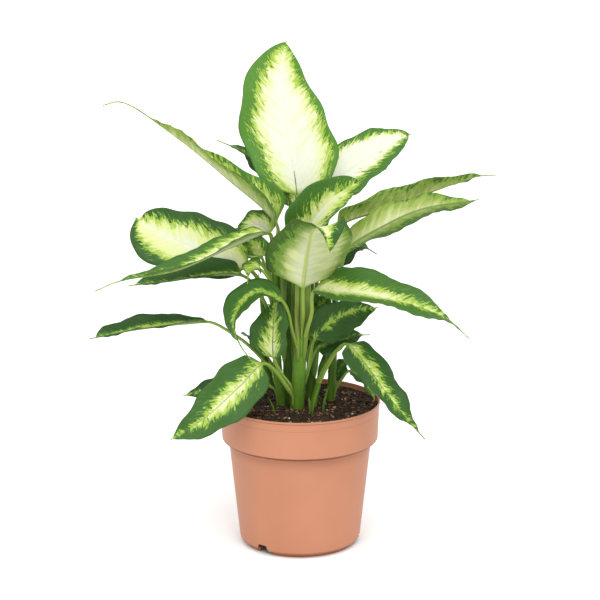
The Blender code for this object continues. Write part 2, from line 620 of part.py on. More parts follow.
def main():
    clear_scene()
    make_pot(material("pot_plastic", (0.64, 0.29, 0.16), 0.5))
    soil = make_soil(material("soil_peat", (0.05, 0.03, 0.02), 0.95))
    stem_green = material("stem_green", (0.13, 0.30, 0.04), 0.45)
    leaf_green = material("leaf_green", (0.12, 0.30, 0.07), 0.4)
    for stem in STEMS:
        make_stem(stem, soil, stem_green)
    for leaf in LEAVES:
        make_leaf(leaf, leaf_green)


main()
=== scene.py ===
"""Looks of a dieffenbachia in a terracotta-coloured plastic nursery pot.

Metres, +Z up. The tables of stems and leaves and the sizes beside them are in millimetres, and MM turns them
into metres. The pieces follow the same lines as the solids that they stand for, with a finer mesh.
"""

import math
import random
from collections import namedtuple
from functools import partial, reduce

import bmesh
import bpy
import numpy as np
from bpy.props import FloatProperty, FloatVectorProperty, IntProperty, PointerProperty
from mathutils import Euler, Matrix, Vector, noise


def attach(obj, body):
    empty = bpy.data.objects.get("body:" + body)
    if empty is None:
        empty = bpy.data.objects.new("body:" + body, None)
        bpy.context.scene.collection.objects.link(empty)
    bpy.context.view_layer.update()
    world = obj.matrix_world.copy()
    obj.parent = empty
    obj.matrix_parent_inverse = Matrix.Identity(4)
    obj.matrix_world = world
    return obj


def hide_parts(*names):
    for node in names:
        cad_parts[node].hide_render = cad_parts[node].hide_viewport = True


bl_info = {
    "name": "Potted dieffenbachia",
    "version": (1, 0, 0),
    "blender": (4, 5, 0),
    "location": "View3D > Sidebar > Plant",
    "description": "Builds the looks of a potted dieffenbachia round its solid model",
    "category": "Object",
}

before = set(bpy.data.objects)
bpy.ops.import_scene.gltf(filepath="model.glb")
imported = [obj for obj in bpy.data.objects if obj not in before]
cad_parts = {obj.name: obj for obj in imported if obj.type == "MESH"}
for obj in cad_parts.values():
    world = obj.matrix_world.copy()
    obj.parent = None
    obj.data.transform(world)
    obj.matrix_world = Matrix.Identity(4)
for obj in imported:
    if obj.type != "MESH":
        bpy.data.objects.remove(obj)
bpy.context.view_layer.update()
BODY = "root"
MM = 0.001

# Stems and leaves, as in the solid model
SEAT_GAP = 0.3
PETIOLE_GAP = 0.6
STEM_DEPTH = 34.0
PETIOLE_RADIUS = 1.1
PETIOLE_GROWTH = 0.012
SHEATH = 1.4
FOOT_SHARE = 0.35
FOOT_LENGTH = 0.3
HUG_LENGTH = 12.0
HUG_SHARE = 0.4
EDGE_HALF_THICKNESS = 0.35
RIB_BASE_DEPTH = 2.0
RIB_TIP_DEPTH = 0.3
TAIL_HALF_WIDTH = 0.9
TIP_HALF_WIDTH = 0.4
COLLAR_LENGTH = 0.07
WAVES = 2.3
WAVE_SHIFT = 1.2
WAVE_START = 0.15
WAVE_END = 0.2
WAVY_HALF_WIDTH = 9.0
SCALLOP = 0.8
SCALLOPS = 3.2
SCALLOP_SHIFT = 2.0
FOLDED_HALF_WIDTH = 4.0

# Fineness of the leaves, and their relief
PLACE_SPACING = 2.6
LEAST_PLACES = 6
RING_SPACING = 1.7
LEAST_RINGS = 24
CROWDING = 1.3
PETIOLE_RINGS = 18
PETIOLE_GROOVE = 0.35
GROOVE_WIDTH = 0.4
FOOT_INSET = 1.8
FOOT_SINK = 0.55
LEAST_CURL = 1e-4
EDGE_THINNING = 0.5
EDGE_SHARPNESS = 8
RIB_HALF_WIDTH = 2.0
CHANNEL_DEPTH = 0.35
CHANNEL_HALF_WIDTH = 1.7
VEIN_SPACING = 7.5
VEIN_RELIEF = 0.1
VEIN_FADE = 5.0
VEIN_BEND = 0.53
EDGE_RIPPLE = 0.5
EDGE_RIPPLE_SPACING = 17.0
EDGE_RIPPLE_SHIFT = 2.0
WELD = 0.002

# Where along a leaf its paint's shares hold, the share at the very tip, and how far apart the patterns of two
# leaves lie
PALE_STOPS = (0.0, 0.5, 0.93, 1.0)
TIP_SHARE = -0.3
SEED_STEP = 13.7

# Rings round the stems, and the young petioles between them
STALK_TURNS = np.arange(28) / 28 * math.tau
STALK_RING_SPACING = 1.5
STALK_INSET = 0.1
SCAR_WOBBLE = 1.6
SCAR_TURN = 2.0
SCAR_HALF_WIDTH = 0.9
SCAR_RELIEF = 0.28
JOINT_TAPER = 0.12
YOUNG_RINGS = 29
YOUNG_STOPS = (0.0, 0.08, 0.5, 0.92, 1.0)
YOUNG_FOOT = 0.4
YOUNG_TIP = 0.25
YOUNG_GRAIN_SHIFT = 40

# Shade is painted shade: how much darker a stem is painted, for those that stand behind the front ones
Stem = namedtuple("Stem", "name knots foot_radius top_radius shade", defaults=(0.0,))

STEMS = (
    Stem("main", [(-3, -20, 150), (-1, -21, 190), (1, -20, 235), (1, -15, 290), (-2, -9, 345)], 7.6, 3.2),
    Stem("left", [(-20, -9, 150), (-24, -8, 200), (-27, -7, 260), (-25, -8, 322)], 5.2, 2.8, 0.25),
    Stem("right", [(13, -19, 150), (16, -19, 165), (20, -20, 181)], 4.2, 3),
    Stem("right_back", [(33, 11, 150), (35, 12, 200), (37, 11, 260), (36, 9, 315)], 4.8, 2.8, 0.5),
    Stem("back", [(-4, 27, 150), (-7, 29, 220), (-10, 27, 300), (-9, 23, 345)], 5, 2.8, 0.55),
    Stem("inner_left", [(-12, 3, 150), (-13, 4, 200), (-12, 5, 250), (-11, 6, 298)], 5.6, 3.6, 0.6),
    Stem("inner_right", [(11, 6, 150), (12, 7, 210), (12, 8, 260), (10, 9, 300)], 5.4, 3.6, 0.6),
)

# How a leaf is coloured. Left and right are the shares of each half blade that are pale, at its base, its
# middle and its tip. White makes the pale part whiter, lime the border wider, dark the margin darker and rib
# the midrib darker. On the leaves that lie in shade deep in the plant, a high dark is painted shade. Fringe
# is how far in millimetres the border's dashes reach. Slope is how steeply the side veins rise.
Paint = namedtuple(
    "Paint", "left right white lime dark fringe rib slope", defaults=(0.5, 0.5, 0.7, 8, 0.4, 0.75))

# The shares of a half blade with no pale part
NONE = (0, 0, 0)

Leaf = namedtuple(
    "Leaf",
    "name stem height petiole midrib face_base face_tip width fold curl wave skew taper tail base paint",
    defaults=(8, 1.5, 0, 0.8, 0.06, 0.42, Paint((0.35, 0.4, 0.2), (0.35, 0.4, 0.2))),
)

LEAVES = (
    Leaf("crown", "main", None, [(-3, -5, 375)], [(-14, 18, 446), (-17, 32, 501), (-14, 42, 531)],
         (0.05, -1, 0.2), (0, -1, 0.1), 97, 6, 4, 2, skew=0.5, taper=0.72, tail=0.01,
         paint=Paint((0.64, 0.74, 0.52), (0.8, 0.88, 0.68), 0.95, 0.9, 0, 9.5, 0)),
    Leaf("upper_right", "main", 330, [(14, 2, 356), (20, 10, 378)],
         [(42, 24, 392), (79, 46, 412), (118, 65, 430)], (-0.1, -0.8, 0.6), (-0.2, -0.7, 0.7), 60, 8, 6, 2,
         skew=0.4, taper=0.6, tail=0.02,
         paint=Paint((0.7, 0.86, 0.7), (0.7, 0.6, 0.4), 1.1, 0.15, 0.4, 7, 0.1)),
    Leaf("front", "main", 290, [(-6, -30, 312), (0, -30, 332)],
         [(19, -38, 364), (37, -38, 383), (52, -33, 391), (67, -25, 399)], (-0.2, -0.85, 0.5),
         (-0.1, -0.8, 0.6), 58, 34, 2, 1.5,
         paint=Paint((0.48, 0.38, 0.12), (0.85, 0.8, 0.5), 0.35, 1, 0.5, 12, 0)),
    Leaf("cupped", "main", 232, [(3, -39, 262), (3, -43, 287)],
         [(8, -64, 332), (14, -90, 359), (23, -108, 361), (30, -113, 339)], (0, 0.9, 0.4), (0.28, -0.55, 0.8),
         90, 10, 24, 1, skew=0.6, taper=0.9, tail=0.02, base=0.3,
         paint=Paint((1.1, 1, 0.35), (0.76, 0.63, 0.1), 0.6, 1, 0.85, 8, 0, 0.22)),
    Leaf("left_long", "left", None, [(-24, -10, 347)],
         [(-75, -18, 398), (-131, -25, 445), (-180, -30, 477), (-199, -32, 474)], (-0.3, -0.3, 0.9),
         (0.1, -0.3, 0.95), 50, 52, 4, 2.5, skew=0.45, taper=1.9, tail=0.12,
         paint=Paint((0.7, 0.95, 1.3), (0.6, 0.75, 1.6), 0.3, 1, 0.2, 11, 0.3)),
    Leaf("behind_crown", "back", None, [(-12, 22, 368)], [(-30, 34, 388), (-60, 60, 411), (-89, 80, 421)],
         (-0.3, -0.5, 0.8), (0, -0.4, 0.9), 28, 30, tail=0.16, paint=Paint(NONE, NONE, 0.3, 0.2, 1, 3, 0.5)),
    Leaf("left_oval", "left", 262, [(-40, -14, 285), (-54, -15, 302)],
         [(-105, -4, 319), (-140, 4, 333), (-172, 10, 351)], (-0.2, -0.85, 0.5), (-0.1, -0.85, 0.5), 72, 5, 4,
         1.5, skew=0.5, taper=0.36, tail=0.02,
         paint=Paint((0.68, 0.74, 0.6), (0.66, 0.66, 0.5), 0.35, 0.8, 0.85, 8, 0)),
    Leaf("left_small", "left", 300, [(-29, 10, 320), (-32, 22, 330)],
         [(-42, 32, 338), (-56, 42, 334), (-64, 48, 322)], (-0.3, -0.6, 0.7), (-0.5, -0.8, 0.3), 34, 8,
         tail=0.02, paint=Paint((0.65, 0.7, 0.5), (0.65, 0.65, 0.4), 0.6, 0.5, 0.7, 5, 0.3)),
    Leaf("left_narrow", "left", 296, [(-28, -22, 333), (-32, -26, 342)],
         [(-69, -45, 332), (-123, -70, 313), (-181, -92, 306), (-204, -101, 298)], (-0.1, -0.1, 1),
         (0, -0.2, 1), 34, 30, 6, 2, tail=0.14,
         paint=Paint((1, 0.5, 0), (0.9, 0.3, 0), 0.95, 0.5, 0.5, 5, 0.3)),
    Leaf("left_level", "left", 240, [(-44, -20, 280), (-58, -26, 296)],
         [(-87, -35, 300), (-137, -55, 297), (-173, -68, 296)], (-0.1, -0.3, 0.95), (-0.1, -0.3, 0.95), 46,
         24, 6, 1.5, tail=0.05, paint=Paint(NONE, (0.1, 0, 0), 0.2, 0.35, 0.8, 4, 0.6)),
    Leaf("left_low", "left", 178, [(-53, -20, 220), (-73, -24, 236), (-93, -26, 247)],
         [(-119, -30, 247), (-172, -43, 243), (-216, -60, 238)], (0.1, -0.15, 1), (-0.1, -0.3, 0.95), 34, 24,
         6, 1.8, taper=0.6, base=0.8, paint=Paint((0.2, 0.22, 0), (0.15, 0.2, 0), 0.3, 0.8, 1, 3, 0.3)),
    Leaf("hooked", "main", 208, [(-8, -37, 240), (-17, -41, 272)],
         [(-43, -51, 286), (-59, -58, 276), (-68, -63, 256), (-62, -68, 235), (-45, -74, 213)],
         (-0.3, -0.5, 0.8), (-0.9, -0.4, -0.2), 36, 14, 6, 1.5, tail=0.25, base=0.75,
         paint=Paint((0.4, 0.15, 0.35), (0.15, 0.1, 0.2), 0.3, 0.8, 0.7, 4, 0.5)),
    Leaf("small_facing", "main", 168, [(-19, -31, 192), (-27, -33, 210)],
         [(-28, -34, 229), (-27, -30, 250), (-25, -20, 269)], (-0.6, -0.8, 0.3), (-0.5, -0.85, 0.1), 52, 18,
         8, 1, skew=-0.2, taper=0.85, tail=0.02, base=0.6,
         paint=Paint((0.75, 0.3, 0.15), (0.7, 0.3, 0.15), 0.3, 1, 0.7, 10, 1)),
    Leaf("front_left", "main", 158, [(-14, -36, 180), (-28, -44, 202), (-38, -50, 209)],
         [(-60, -66, 191), (-97, -88, 162), (-131, -104, 144)], (0.2, -0.8, 0.6), (0.2, -0.75, 0.6), 53, 8, 6,
         1.5, skew=0.1, tail=0.02, paint=Paint((0.3, 0.4, 0.05), (0.25, 0.35, 0), 0.7, 0.7, 0.7, 7, 0.7)),
    Leaf("low_left_back", "left", 165, [(-40, 2, 174), (-53, 8, 176)],
         [(-74, 6, 171), (-100, 0, 166), (-124, -5, 161)], (0, -0.7, 0.7), (0, -0.7, 0.7), 26, 12, tail=0.05,
         paint=Paint(NONE, NONE, 0.2, 0.2, 1, 4, 0.6)),
    Leaf("right", "main", 222, [(12, -37, 260), (14, -40, 283)],
         [(48, -59, 287), (80, -72, 286), (115, -84, 280), (146, -92, 269), (170, -98, 248)], (0, -0.4, 0.92),
         (0.3, -0.5, 0.8), 62, 18, 6, 2, skew=-0.4, tail=0.1, base=0.36,
         paint=Paint((0.42, 0.36, 0.25), (0.45, 0.3, 0.15), 0.6, 0.7, 0.5, 7, 0)),
    Leaf("right_upper", "right_back", None, [(38, 7, 340)],
         [(88, 4, 361), (145, 0, 383), (180, -3, 396), (202, -4, 398)], (0.1, 0.65, 0.75), (0.1, 0.65, 0.75),
         39, 24, 10, 2.5, tail=0.08, paint=Paint((0.85, 0.85, 0.6), (0.85, 0.85, 0.6), 0, 1, 0.8, 14, 0.5)),
    Leaf("right_second", "right_back", 255, [(42, -6, 295), (50, -9, 321)],
         [(87, -14, 347), (125, -18, 365), (183, -24, 376)], (0, 1, 0.1), (0.1, 0.9, 0.4), 38, 30, 4, 2,
         skew=0.4, taper=0.65, tail=0.04,
         paint=Paint((0.55, 0.45, 0.3), (1.1, 1, 0.7), 0.2, 0.9, 0.6, 9, 0.7)),
    Leaf("right_small_dark", "right_back", 250, [(40, 22, 280), (38, 24, 294)],
         [(49, 28, 308), (64, 34, 315), (82, 40, 305)], (0, -0.5, 0.85), (0.3, -0.4, 0.85), 28, 14, tail=0.2,
         paint=Paint(NONE, NONE, 0.2, 0.2, 1, 3, 0.7)),
    # Its pale shares are kept small, painted shade where the leaf lies in the dark gap between leaves
    Leaf("right_inner", "main", 188, [(11, -19, 210), (15, -18, 226)],
         [(33, -21, 246), (54, -27, 259), (82, -34, 265)], (0.1, -0.95, 0.15), (0.2, -0.9, 0.2), 43, 14, 4,
         skew=-0.3, tail=0.05, paint=Paint((0.04, 0.12, 0), (0, 0.1, 0), 0.1, 0.9, 0.85, 6, 0.2)),
    Leaf("right_folded", "main", 200, [(12, -12, 222)], [(14, -6, 238), (20, -6, 256), (31, -8, 275)],
         (-0.3, -0.9, 0.2), (-0.3, -0.9, 0.2), 32, 16, tail=0.05,
         paint=Paint((0.3, 0.3, 0.1), (0.3, 0.3, 0.1), 0.1, 1, 0.7, 7, 0.6)),
    Leaf("right_under", "main", 172, [(11, -10, 198), (17, -9, 212)],
         [(34, -9, 221), (56, -5, 227), (74, 3, 226)], (0.1, -0.7, 0.7), (0.1, -0.6, 0.8), 32, 14, tail=0.15,
         paint=Paint(NONE, NONE, 0.2, 0.2, 1, 3, 0.8)),
    Leaf("front_right", "right", None, [(26, -25, 196), (38, -36, 219), (48, -47, 229)],
         [(65, -60, 214), (82, -78, 194), (100, -90, 172), (127, -99, 143)], (0.4, -0.6, 0.7),
         (0.5, -0.65, 0.55), 43, 6, 6, 2, skew=0.3, tail=0.1, base=0.3,
         paint=Paint((0.35, 0.3, 0.1), (0.2, 0.15, 0), 0.4, 0.8, 0.85, 7, 0.8)),
    Leaf("right_small_back", "right_back", 158, [(36, 22, 170)], [(42, 23, 182), (49, 24, 193)],
         (-0.3, -0.8, 0.5), (-0.3, -0.8, 0.5), 20, 8, taper=0.5, tail=0.02,
         paint=Paint(NONE, NONE, 0.2, 0.2, 0.7, 3, 0.5)),
    Leaf("right_small_low", "right_back", 158, [(44, 0, 178), (52, -4, 188)],
         [(66, -8, 182), (74, -11, 170), (79, -13, 158)], (0.4, -0.6, 0.7), (0.6, -0.7, 0.4), 20, 10,
         paint=Paint(NONE, NONE, 0.2, 0.2, 0.8, 3, 0.5)),
    Leaf("pale_left", "left", 290, [(-36, -10, 303), (-40, -16, 315)], [(-44, -22, 326), (-50, -24, 335)],
         (-0.4, -0.8, 0.3), (-0.4, -0.8, 0.3), 26, 10, taper=0.5, tail=0.02,
         paint=Paint((0.7, 0.6, 0.5), (0.7, 0.6, 0.5), 0.1, 1, 0.3, 6, 0.3)),
    Leaf("pale_drooping", "left", 272, [(-31, -23, 291), (-41, -29, 304)],
         [(-48, -34, 307), (-53, -40, 301), (-54, -45, 292)], (-0.3, -0.6, 0.7), (-0.8, -0.6, 0.1), 24, 12,
         tail=0.3, paint=Paint((0.7, 0.6, 0.4), (0.7, 0.6, 0.4), 0.1, 1, 0.4, 6, 0.3)),
    Leaf("rolled", "main", 338, [(-5, -20, 360)], [(-3, -19, 378), (-6, -15, 404)], (0.2, -0.9, 0.3),
         (0.2, -0.9, 0.3), 7, 60, wave=0, tail=0.5,
         paint=Paint((0.4, 0.4, 0.4), (0.4, 0.4, 0.4), 0.1, 1, 0.8, 3, 0.3)),
    Leaf("back_high", "back", 300, [(-6, 48, 328), (-4, 64, 346)],
         [(4, 106, 370), (12, 146, 372), (16, 178, 356)], (0, -0.3, 0.9), (0.1, 0.4, 0.9), 58, 12),
    Leaf("back_left", "back", 240, [(-32, 50, 278), (-44, 62, 292)],
         [(-70, 92, 308), (-98, 122, 306), (-118, 144, 290)], (0.2, -0.3, 0.9), (-0.3, 0.3, 0.9), 56, 12),
    Leaf("back_right", "back", 222, [(18, 54, 242), (30, 68, 250)],
         [(62, 100, 256), (92, 128, 246), (110, 146, 230)], (-0.2, -0.3, 0.9), (0.3, 0.3, 0.9), 54, 12),
    Leaf("back_low", "back", 185, [(-8, 50, 210), (-8, 64, 220)],
         [(-8, 98, 228), (-6, 132, 216), (-4, 158, 192)], (0, -0.3, 0.9), (0, 0.6, 0.8), 56, 12),
    Leaf("back_low_left", "left", 180, [(-37, 20, 200), (-41, 32, 205)],
         [(-42, 56, 206), (-42, 86, 197), (-42, 108, 182)], (0.2, -0.3, 0.9), (-0.2, 0.4, 0.8), 44, 12),
    Leaf("back_low_right", "right_back", 192, [(42, 34, 212), (44, 46, 219)],
         [(46, 76, 220), (47, 102, 208), (46, 120, 192)], (-0.1, -0.3, 0.9), (0.2, 0.4, 0.8), 44, 12),
)

# Young petioles, rolled young leaves and shoots between the stems: knots, radius at the foot, half way and
# on top, how dark they are painted for the shade deep in the clump, and how pale they are
SHEATHS = (
    ([(-5, -9, 190), (-7, -8, 235), (-6, -8, 300)], 3.2, 3, 2, 0.3, 0.3),
    ([(4, -25, 205), (7, -25, 245), (8.5, -23, 302)], 2, 4.2, 3, 0.2, 0.6),
    ([(15, -6, 180), (18, -4, 225), (17, 0, 300)], 3, 3, 2.2, 0.5, 0),
    ([(-17, -12, 200), (-17, -12, 255), (-20, -10, 312)], 2.8, 2.6, 1.8, 0.3, 0.4),
    ([(-2, -28, 205), (-3, -27, 245), (-2.5, -24, 302)], 2, 2.8, 2.2, 0, 0.9),
    ([(-19, 0, 215), (-22, 1, 270), (-23, 2, 316)], 2.4, 2.4, 1.8, 0.5, 0),
    ([(-14, 16, 200), (-15, 17, 260), (-15, 16, 312)], 2.6, 2.6, 2, 0.55, 0),
    ([(-24, 16, 185), (-36, 18, 235), (-44, 20, 290)], 1.6, 4.6, 0.8, 0.5, 0),
    ([(-26, 8, 160), (-36, 10, 190), (-45, 14, 222)], 1.6, 4.6, 0.8, 0.6, 0),
    ([(17, -2, 160), (23, 2, 188), (32, 8, 222)], 1.6, 4.4, 0.8, 0.6, 0),
    ([(30, 24, 190), (31, 26, 235), (31, 28, 285)], 1.8, 3.8, 1.2, 0.55, 0),
    ([(12.5, -42, 150), (14.5, -42, 165), (21.5, -40, 186)], 1, 1.5, 0.6, 0.3, 0),
    ([(-26, -38, 150), (-28, -38, 158), (-33, -36, 169)], 0.8, 1.3, 0.5, 0.6, 0),
    ([(10, -35, 149), (10.5, -36, 158), (9, -36, 169)], 1.4, 1.7, 0.7, 0, 1),
    ([(24, -30, 149), (25, -29, 160), (30, -26, 178)], 1, 1.4, 0.5, 0.5, 0),
)


def unit(vector):
    """A vector of length one along the given one."""
    return vector / np.linalg.norm(vector)


def ease(amount):
    """Zero to one with a soft start and end."""
    amount = np.clip(amount, 0.0, 1.0)
    return amount * amount * (3.0 - 2.0 * amount)


def bell(amount):
    """One at zero, falling softly to nothing a little beyond one."""
    return np.exp(-np.square(amount) * 1.5)


class Path:
    """A smooth curve through its knots, read by the distance along it."""

    STEPS = 24
    HEADING_REACH = 0.01

    def __init__(self, knots):
        knots = np.array(knots, dtype=float)
        ends = np.vstack([2 * knots[0] - knots[1], knots, 2 * knots[-1] - knots[-2]])
        points = []
        for a, b, c, d in zip(ends, ends[1:], ends[2:], ends[3:]):
            points.extend(self.span(a, b, c, d))
        points.append(knots[-1])
        self.points = np.array(points)
        lengths = np.linalg.norm(np.diff(self.points, axis=0), axis=1)
        self.along = np.concatenate([[0.0], np.cumsum(lengths)])
        self.knot_along = self.along[:: self.STEPS]

    def span(self, a, b, c, d):
        """Points of the centripetal curve from b up to c, with a and d as its neighbours."""
        times = np.cumsum([0.0] + [math.sqrt(np.linalg.norm(q - p)) for p, q in ((a, b), (b, c), (c, d))])
        for step in range(self.STEPS):
            t = times[1] + (times[2] - times[1]) * step / self.STEPS
            ab, bc, cd = (
                ((high - t) * p + (t - low) * q) / (high - low)
                for p, q, low, high in zip((a, b, c), (b, c, d), times, times[1:])
            )
            abc = ((times[2] - t) * ab + (t - times[0]) * bc) / (times[2] - times[0])
            bcd = ((times[3] - t) * bc + (t - times[1]) * cd) / (times[3] - times[1])
            yield ((times[2] - t) * abc + (t - times[1]) * bcd) / (times[2] - times[1])

    def place(self, distance):
        """The point at a distance along the curve."""
        return np.array([np.interp(distance, self.along, self.points[:, axis]) for axis in range(3)])

    def heading(self, distance):
        """The direction of the curve at a distance along it."""
        reach = self.along[-1] * self.HEADING_REACH
        return unit(self.place(distance + reach) - self.place(distance - reach))

    def at_height(self, height):
        """The point where an upward curve passes a height."""
        return self.place(np.interp(height, self.points[:, 2], self.along))


def stem_path(stem):
    """The stem's middle line, from its foot in the soil to its top."""
    x, y, height = stem.knots[0]
    return Path([(x, y, height - STEM_DEPTH), (x, y, height - STEM_DEPTH / 2)] + list(stem.knots))


def stem_radius(stem, height):
    """The stem's radius at a height."""
    low, high = stem.knots[0][2], stem.knots[-1][2]
    return stem.foot_radius + (stem.top_radius - stem.foot_radius) * ease((height - low) / (high - low))


def stem_of(leaf):
    """The stem that a leaf grows from."""
    return next(stem for stem in STEMS if stem.name == leaf.stem)


def petiole_radius(leaf, share):
    """The petiole's radius at a share of its length. On the side of a stem it starts as a point."""
    end = PETIOLE_RADIUS + PETIOLE_GROWTH * leaf.width
    if leaf.height is None:
        return stem_of(leaf).top_radius * (1.0 - share) + end * share
    pointed = FOOT_SHARE + (1.0 - FOOT_SHARE) * ease(share / FOOT_LENGTH)
    return end * (SHEATH * (1.0 - share) + share) * pointed


def leaf_path(leaf):
    """The leaf's line from its stem to its tip, and the knot where its blade starts."""
    stem = stem_of(leaf)
    axis = stem_path(stem)
    start = [axis.points[-1] + (0, 0, SEAT_GAP)]
    if leaf.height is not None:
        first = np.array(leaf.petiole[0], dtype=float)
        outward = unit((first - axis.at_height(leaf.height)) * (1, 1, 0))
        rise = min(HUG_LENGTH, HUG_SHARE * (first[2] - leaf.height))
        start = []
        for height, share in ((leaf.height, 0.0), (leaf.height + rise, FOOT_LENGTH)):
            reach = stem_radius(stem, height) + PETIOLE_GAP + petiole_radius(leaf, share)
            start.append(axis.at_height(height) + outward * reach)
    knots = start + [np.array(knot, dtype=float) for knot in leaf.petiole + leaf.midrib]
    return Path(knots), len(start) + len(leaf.petiole) - 1


def waviness(along, half):
    """How wavy an edge is at a share of a blade's length: zero at its ends and less where it is narrow."""
    return ease(along / WAVE_START) * ease((1.0 - along) / WAVE_END) * ease(half / WAVY_HALF_WIDTH)


def outline(leaf, along, side):
    """Half the blade's width at a share of its length, on the side -1 or 1."""
    shifted = along + side * leaf.skew * along * (1.0 - along)
    body = min(shifted / (1.0 - leaf.tail), 1.0)
    widest = leaf.base / (leaf.base + leaf.taper)
    swell = (body / widest) ** leaf.base * ((1.0 - body) / (1.0 - widest)) ** leaf.taper
    half = leaf.width / 2 * swell
    turn = math.tau * SCALLOPS * along + leaf.width + (SCALLOP_SHIFT if side < 0 else 0.0)
    scallop = SCALLOP * leaf.wave * waviness(along, half) * math.sin(turn)
    tail = TAIL_HALF_WIDTH + (TIP_HALF_WIDTH - TAIL_HALF_WIDTH) * along
    return max(half + scallop, tail)


def crowded(share):
    """A share of a length that lies closer to its nearer end than the given one."""
    return 0.5 * share + 0.25 * (1.0 - math.cos(math.pi * share))


def new_object(name):
    """The active object, renamed."""
    obj = bpy.context.active_object
    obj.name = name
    obj.data.name = name
    return obj


def deselect():
    """Leave nothing selected."""
    bpy.ops.object.select_all(action="DESELECT")


def columns(count, *parts):
    """Rows for so many points, from parts that are one number for all or one for each."""
    return np.stack([np.broadcast_to(part, count) for part in parts], 1)


def looped(rows):
    """The rows of all rings in one list, with each ring's first row again at its end."""
    return np.vstack([np.vstack([row, row[:1]]) for row in rows]).astype(np.float32).ravel()


def closed_tube(name, rings, values):
    """A closed solid through rings, rolled up from a grid. Each value is three numbers at every point."""
    deselect()
    bpy.ops.mesh.primitive_grid_add(x_subdivisions=len(rings[0]), y_subdivisions=len(rings) - 1, size=1.0)
    obj = new_object(name)
    obj.data.vertices.foreach_set("co", looped([ring * MM for ring in rings]))
    for layer, rows in values.items():
        obj.data.attributes.new(layer, "FLOAT_VECTOR", "POINT").data.foreach_set("vector", looped(rows))
    deselect()
    obj.select_set(True)
    bpy.context.view_layer.objects.active = obj
    bpy.ops.object.mode_set(mode="EDIT")
    bpy.ops.mesh.select_all(action="SELECT")
    bpy.ops.mesh.remove_doubles(threshold=WELD * MM)
    bpy.ops.mesh.select_all(action="DESELECT")
    bpy.ops.mesh.select_mode(type="EDGE")
    bpy.ops.mesh.select_non_manifold()
    bpy.ops.mesh.edge_face_add()
    bpy.ops.mesh.select_mode(type="VERT")
    bpy.ops.mesh.select_all(action="SELECT")
    bpy.ops.mesh.normals_make_consistent(inside=False)
    bpy.ops.object.mode_set(mode="OBJECT")
    bpy.ops.object.shade_smooth()
    return obj


def finish_piece(obj, surface, slot, *nodes):
    """Give a piece its material and body, and let it stand for its nodes; its slot is not used."""
    obj.data.materials.clear()
    obj.data.materials.append(surface)
    for node in nodes:
        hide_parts(node)
    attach(obj, BODY)


def across_places(leaf):
    """Places across a blade from edge to edge, closer together at the midrib."""
    half = max(LEAST_PLACES, round(leaf.width / 2 / PLACE_SPACING))
    steps = (np.arange(half, -1, -1) / half) ** CROWDING
    return np.concatenate([-steps, steps[::-1][1:]])


def pale_share(leaf, along, side):
    """The share of each half blade that is pale at a share of its length."""
    halves = (leaf.paint.left, leaf.paint.right)
    left, right = (np.interp(along, PALE_STOPS, (*half, TIP_SHARE)) for half in halves)
    return np.where(side < 0, left, right)


def leaf_section(leaf, along, radius, centre, heading, right, length):
    """The points round a leaf at a share of its blade, with what its material reads at each of them."""
    places = across_places(leaf)
    side = np.where(places < 0, -1.0, 1.0)
    reach = np.abs(places)
    half = np.where(places < 0, outline(leaf, along, -1.0), outline(leaf, along, 1.0))
    distance = reach * half
    up = np.cross(right, heading)
    folded = np.minimum(half / FOLDED_HALF_WIDTH, 1.0)
    fold = folded * math.radians(leaf.fold)
    curl = np.maximum(folded * math.radians(leaf.curl), LEAST_CURL)
    end = fold + curl * reach
    out = (np.sin(end) - np.sin(fold)) / curl
    rise = (np.cos(fold) - np.cos(end)) / curl
    tilt = side * end * ease(distance / CHANNEL_HALF_WIDTH)
    normal = np.outer(np.cos(tilt), up) - np.outer(np.sin(tilt), right)
    swell = waviness(along, half)
    ripple = leaf.wave * swell * reach ** 2 * np.sin(math.tau * WAVES * along + WAVE_SHIFT * side)
    vein = along * length - leaf.paint.slope * distance * (1.0 + VEIN_BEND * distance / (leaf.width / 2))
    turn = math.tau * vein / EDGE_RIPPLE_SPACING + EDGE_RIPPLE_SHIFT * side
    small = EDGE_RIPPLE * swell * reach ** 3 * np.sin(turn)
    inside = ease(distance / VEIN_FADE) * ease((half - distance) / VEIN_FADE)
    quilt = VEIN_RELIEF * inside * np.cos(math.tau * vein / VEIN_SPACING)
    lift = ripple + small - quilt
    middle = centre + np.outer(side * half * out, right) + np.outer(half * rise, up) + lift[:, None] * normal
    rib = RIB_BASE_DEPTH + (RIB_TIP_DEPTH - RIB_BASE_DEPTH) * along
    thickness = EDGE_HALF_THICKNESS * (1.0 - EDGE_THINNING * reach ** EDGE_SHARPNESS)
    above = thickness - CHANNEL_DEPTH * (1.0 - along) * bell(distance / CHANNEL_HALF_WIDTH)
    below = thickness + rib * bell(distance / RIB_HALF_WIDTH)
    turn = math.pi * (1.0 - (np.arange(len(places)) + 0.5) / len(places))
    rounding = 1.0 - PETIOLE_GROOVE * bell(np.cos(turn) / GROOVE_WIDTH)
    flat_out, flat_up = np.outer(np.cos(turn), right), np.outer(np.sin(turn), up)
    flat = ease(along / COLLAR_LENGTH)
    round_upper = centre + radius * (flat_out + rounding[:, None] * flat_up)
    round_lower = centre + radius * (flat_out - flat_up)
    upper = (1 - flat) * round_upper + flat * (middle + above[:, None] * normal)
    lower = (1 - flat) * round_lower + flat * (middle - below[:, None] * normal)
    edge = (reach - pale_share(leaf, along, side)) * half
    return upper, lower, vein, side * distance, edge, flat


def sunk(leaf, centre, radius, share):
    """A petiole's place at a share of its length, drawn into the stem where it leaves the stem's side."""
    if leaf.height is None:
        return centre
    inward = (stem_path(stem_of(leaf)).at_height(centre[2]) - centre) * (1, 1, 0)
    return centre + unit(inward) * (PETIOLE_GAP + FOOT_SINK * radius) * (1.0 - ease(share / FOOT_LENGTH))


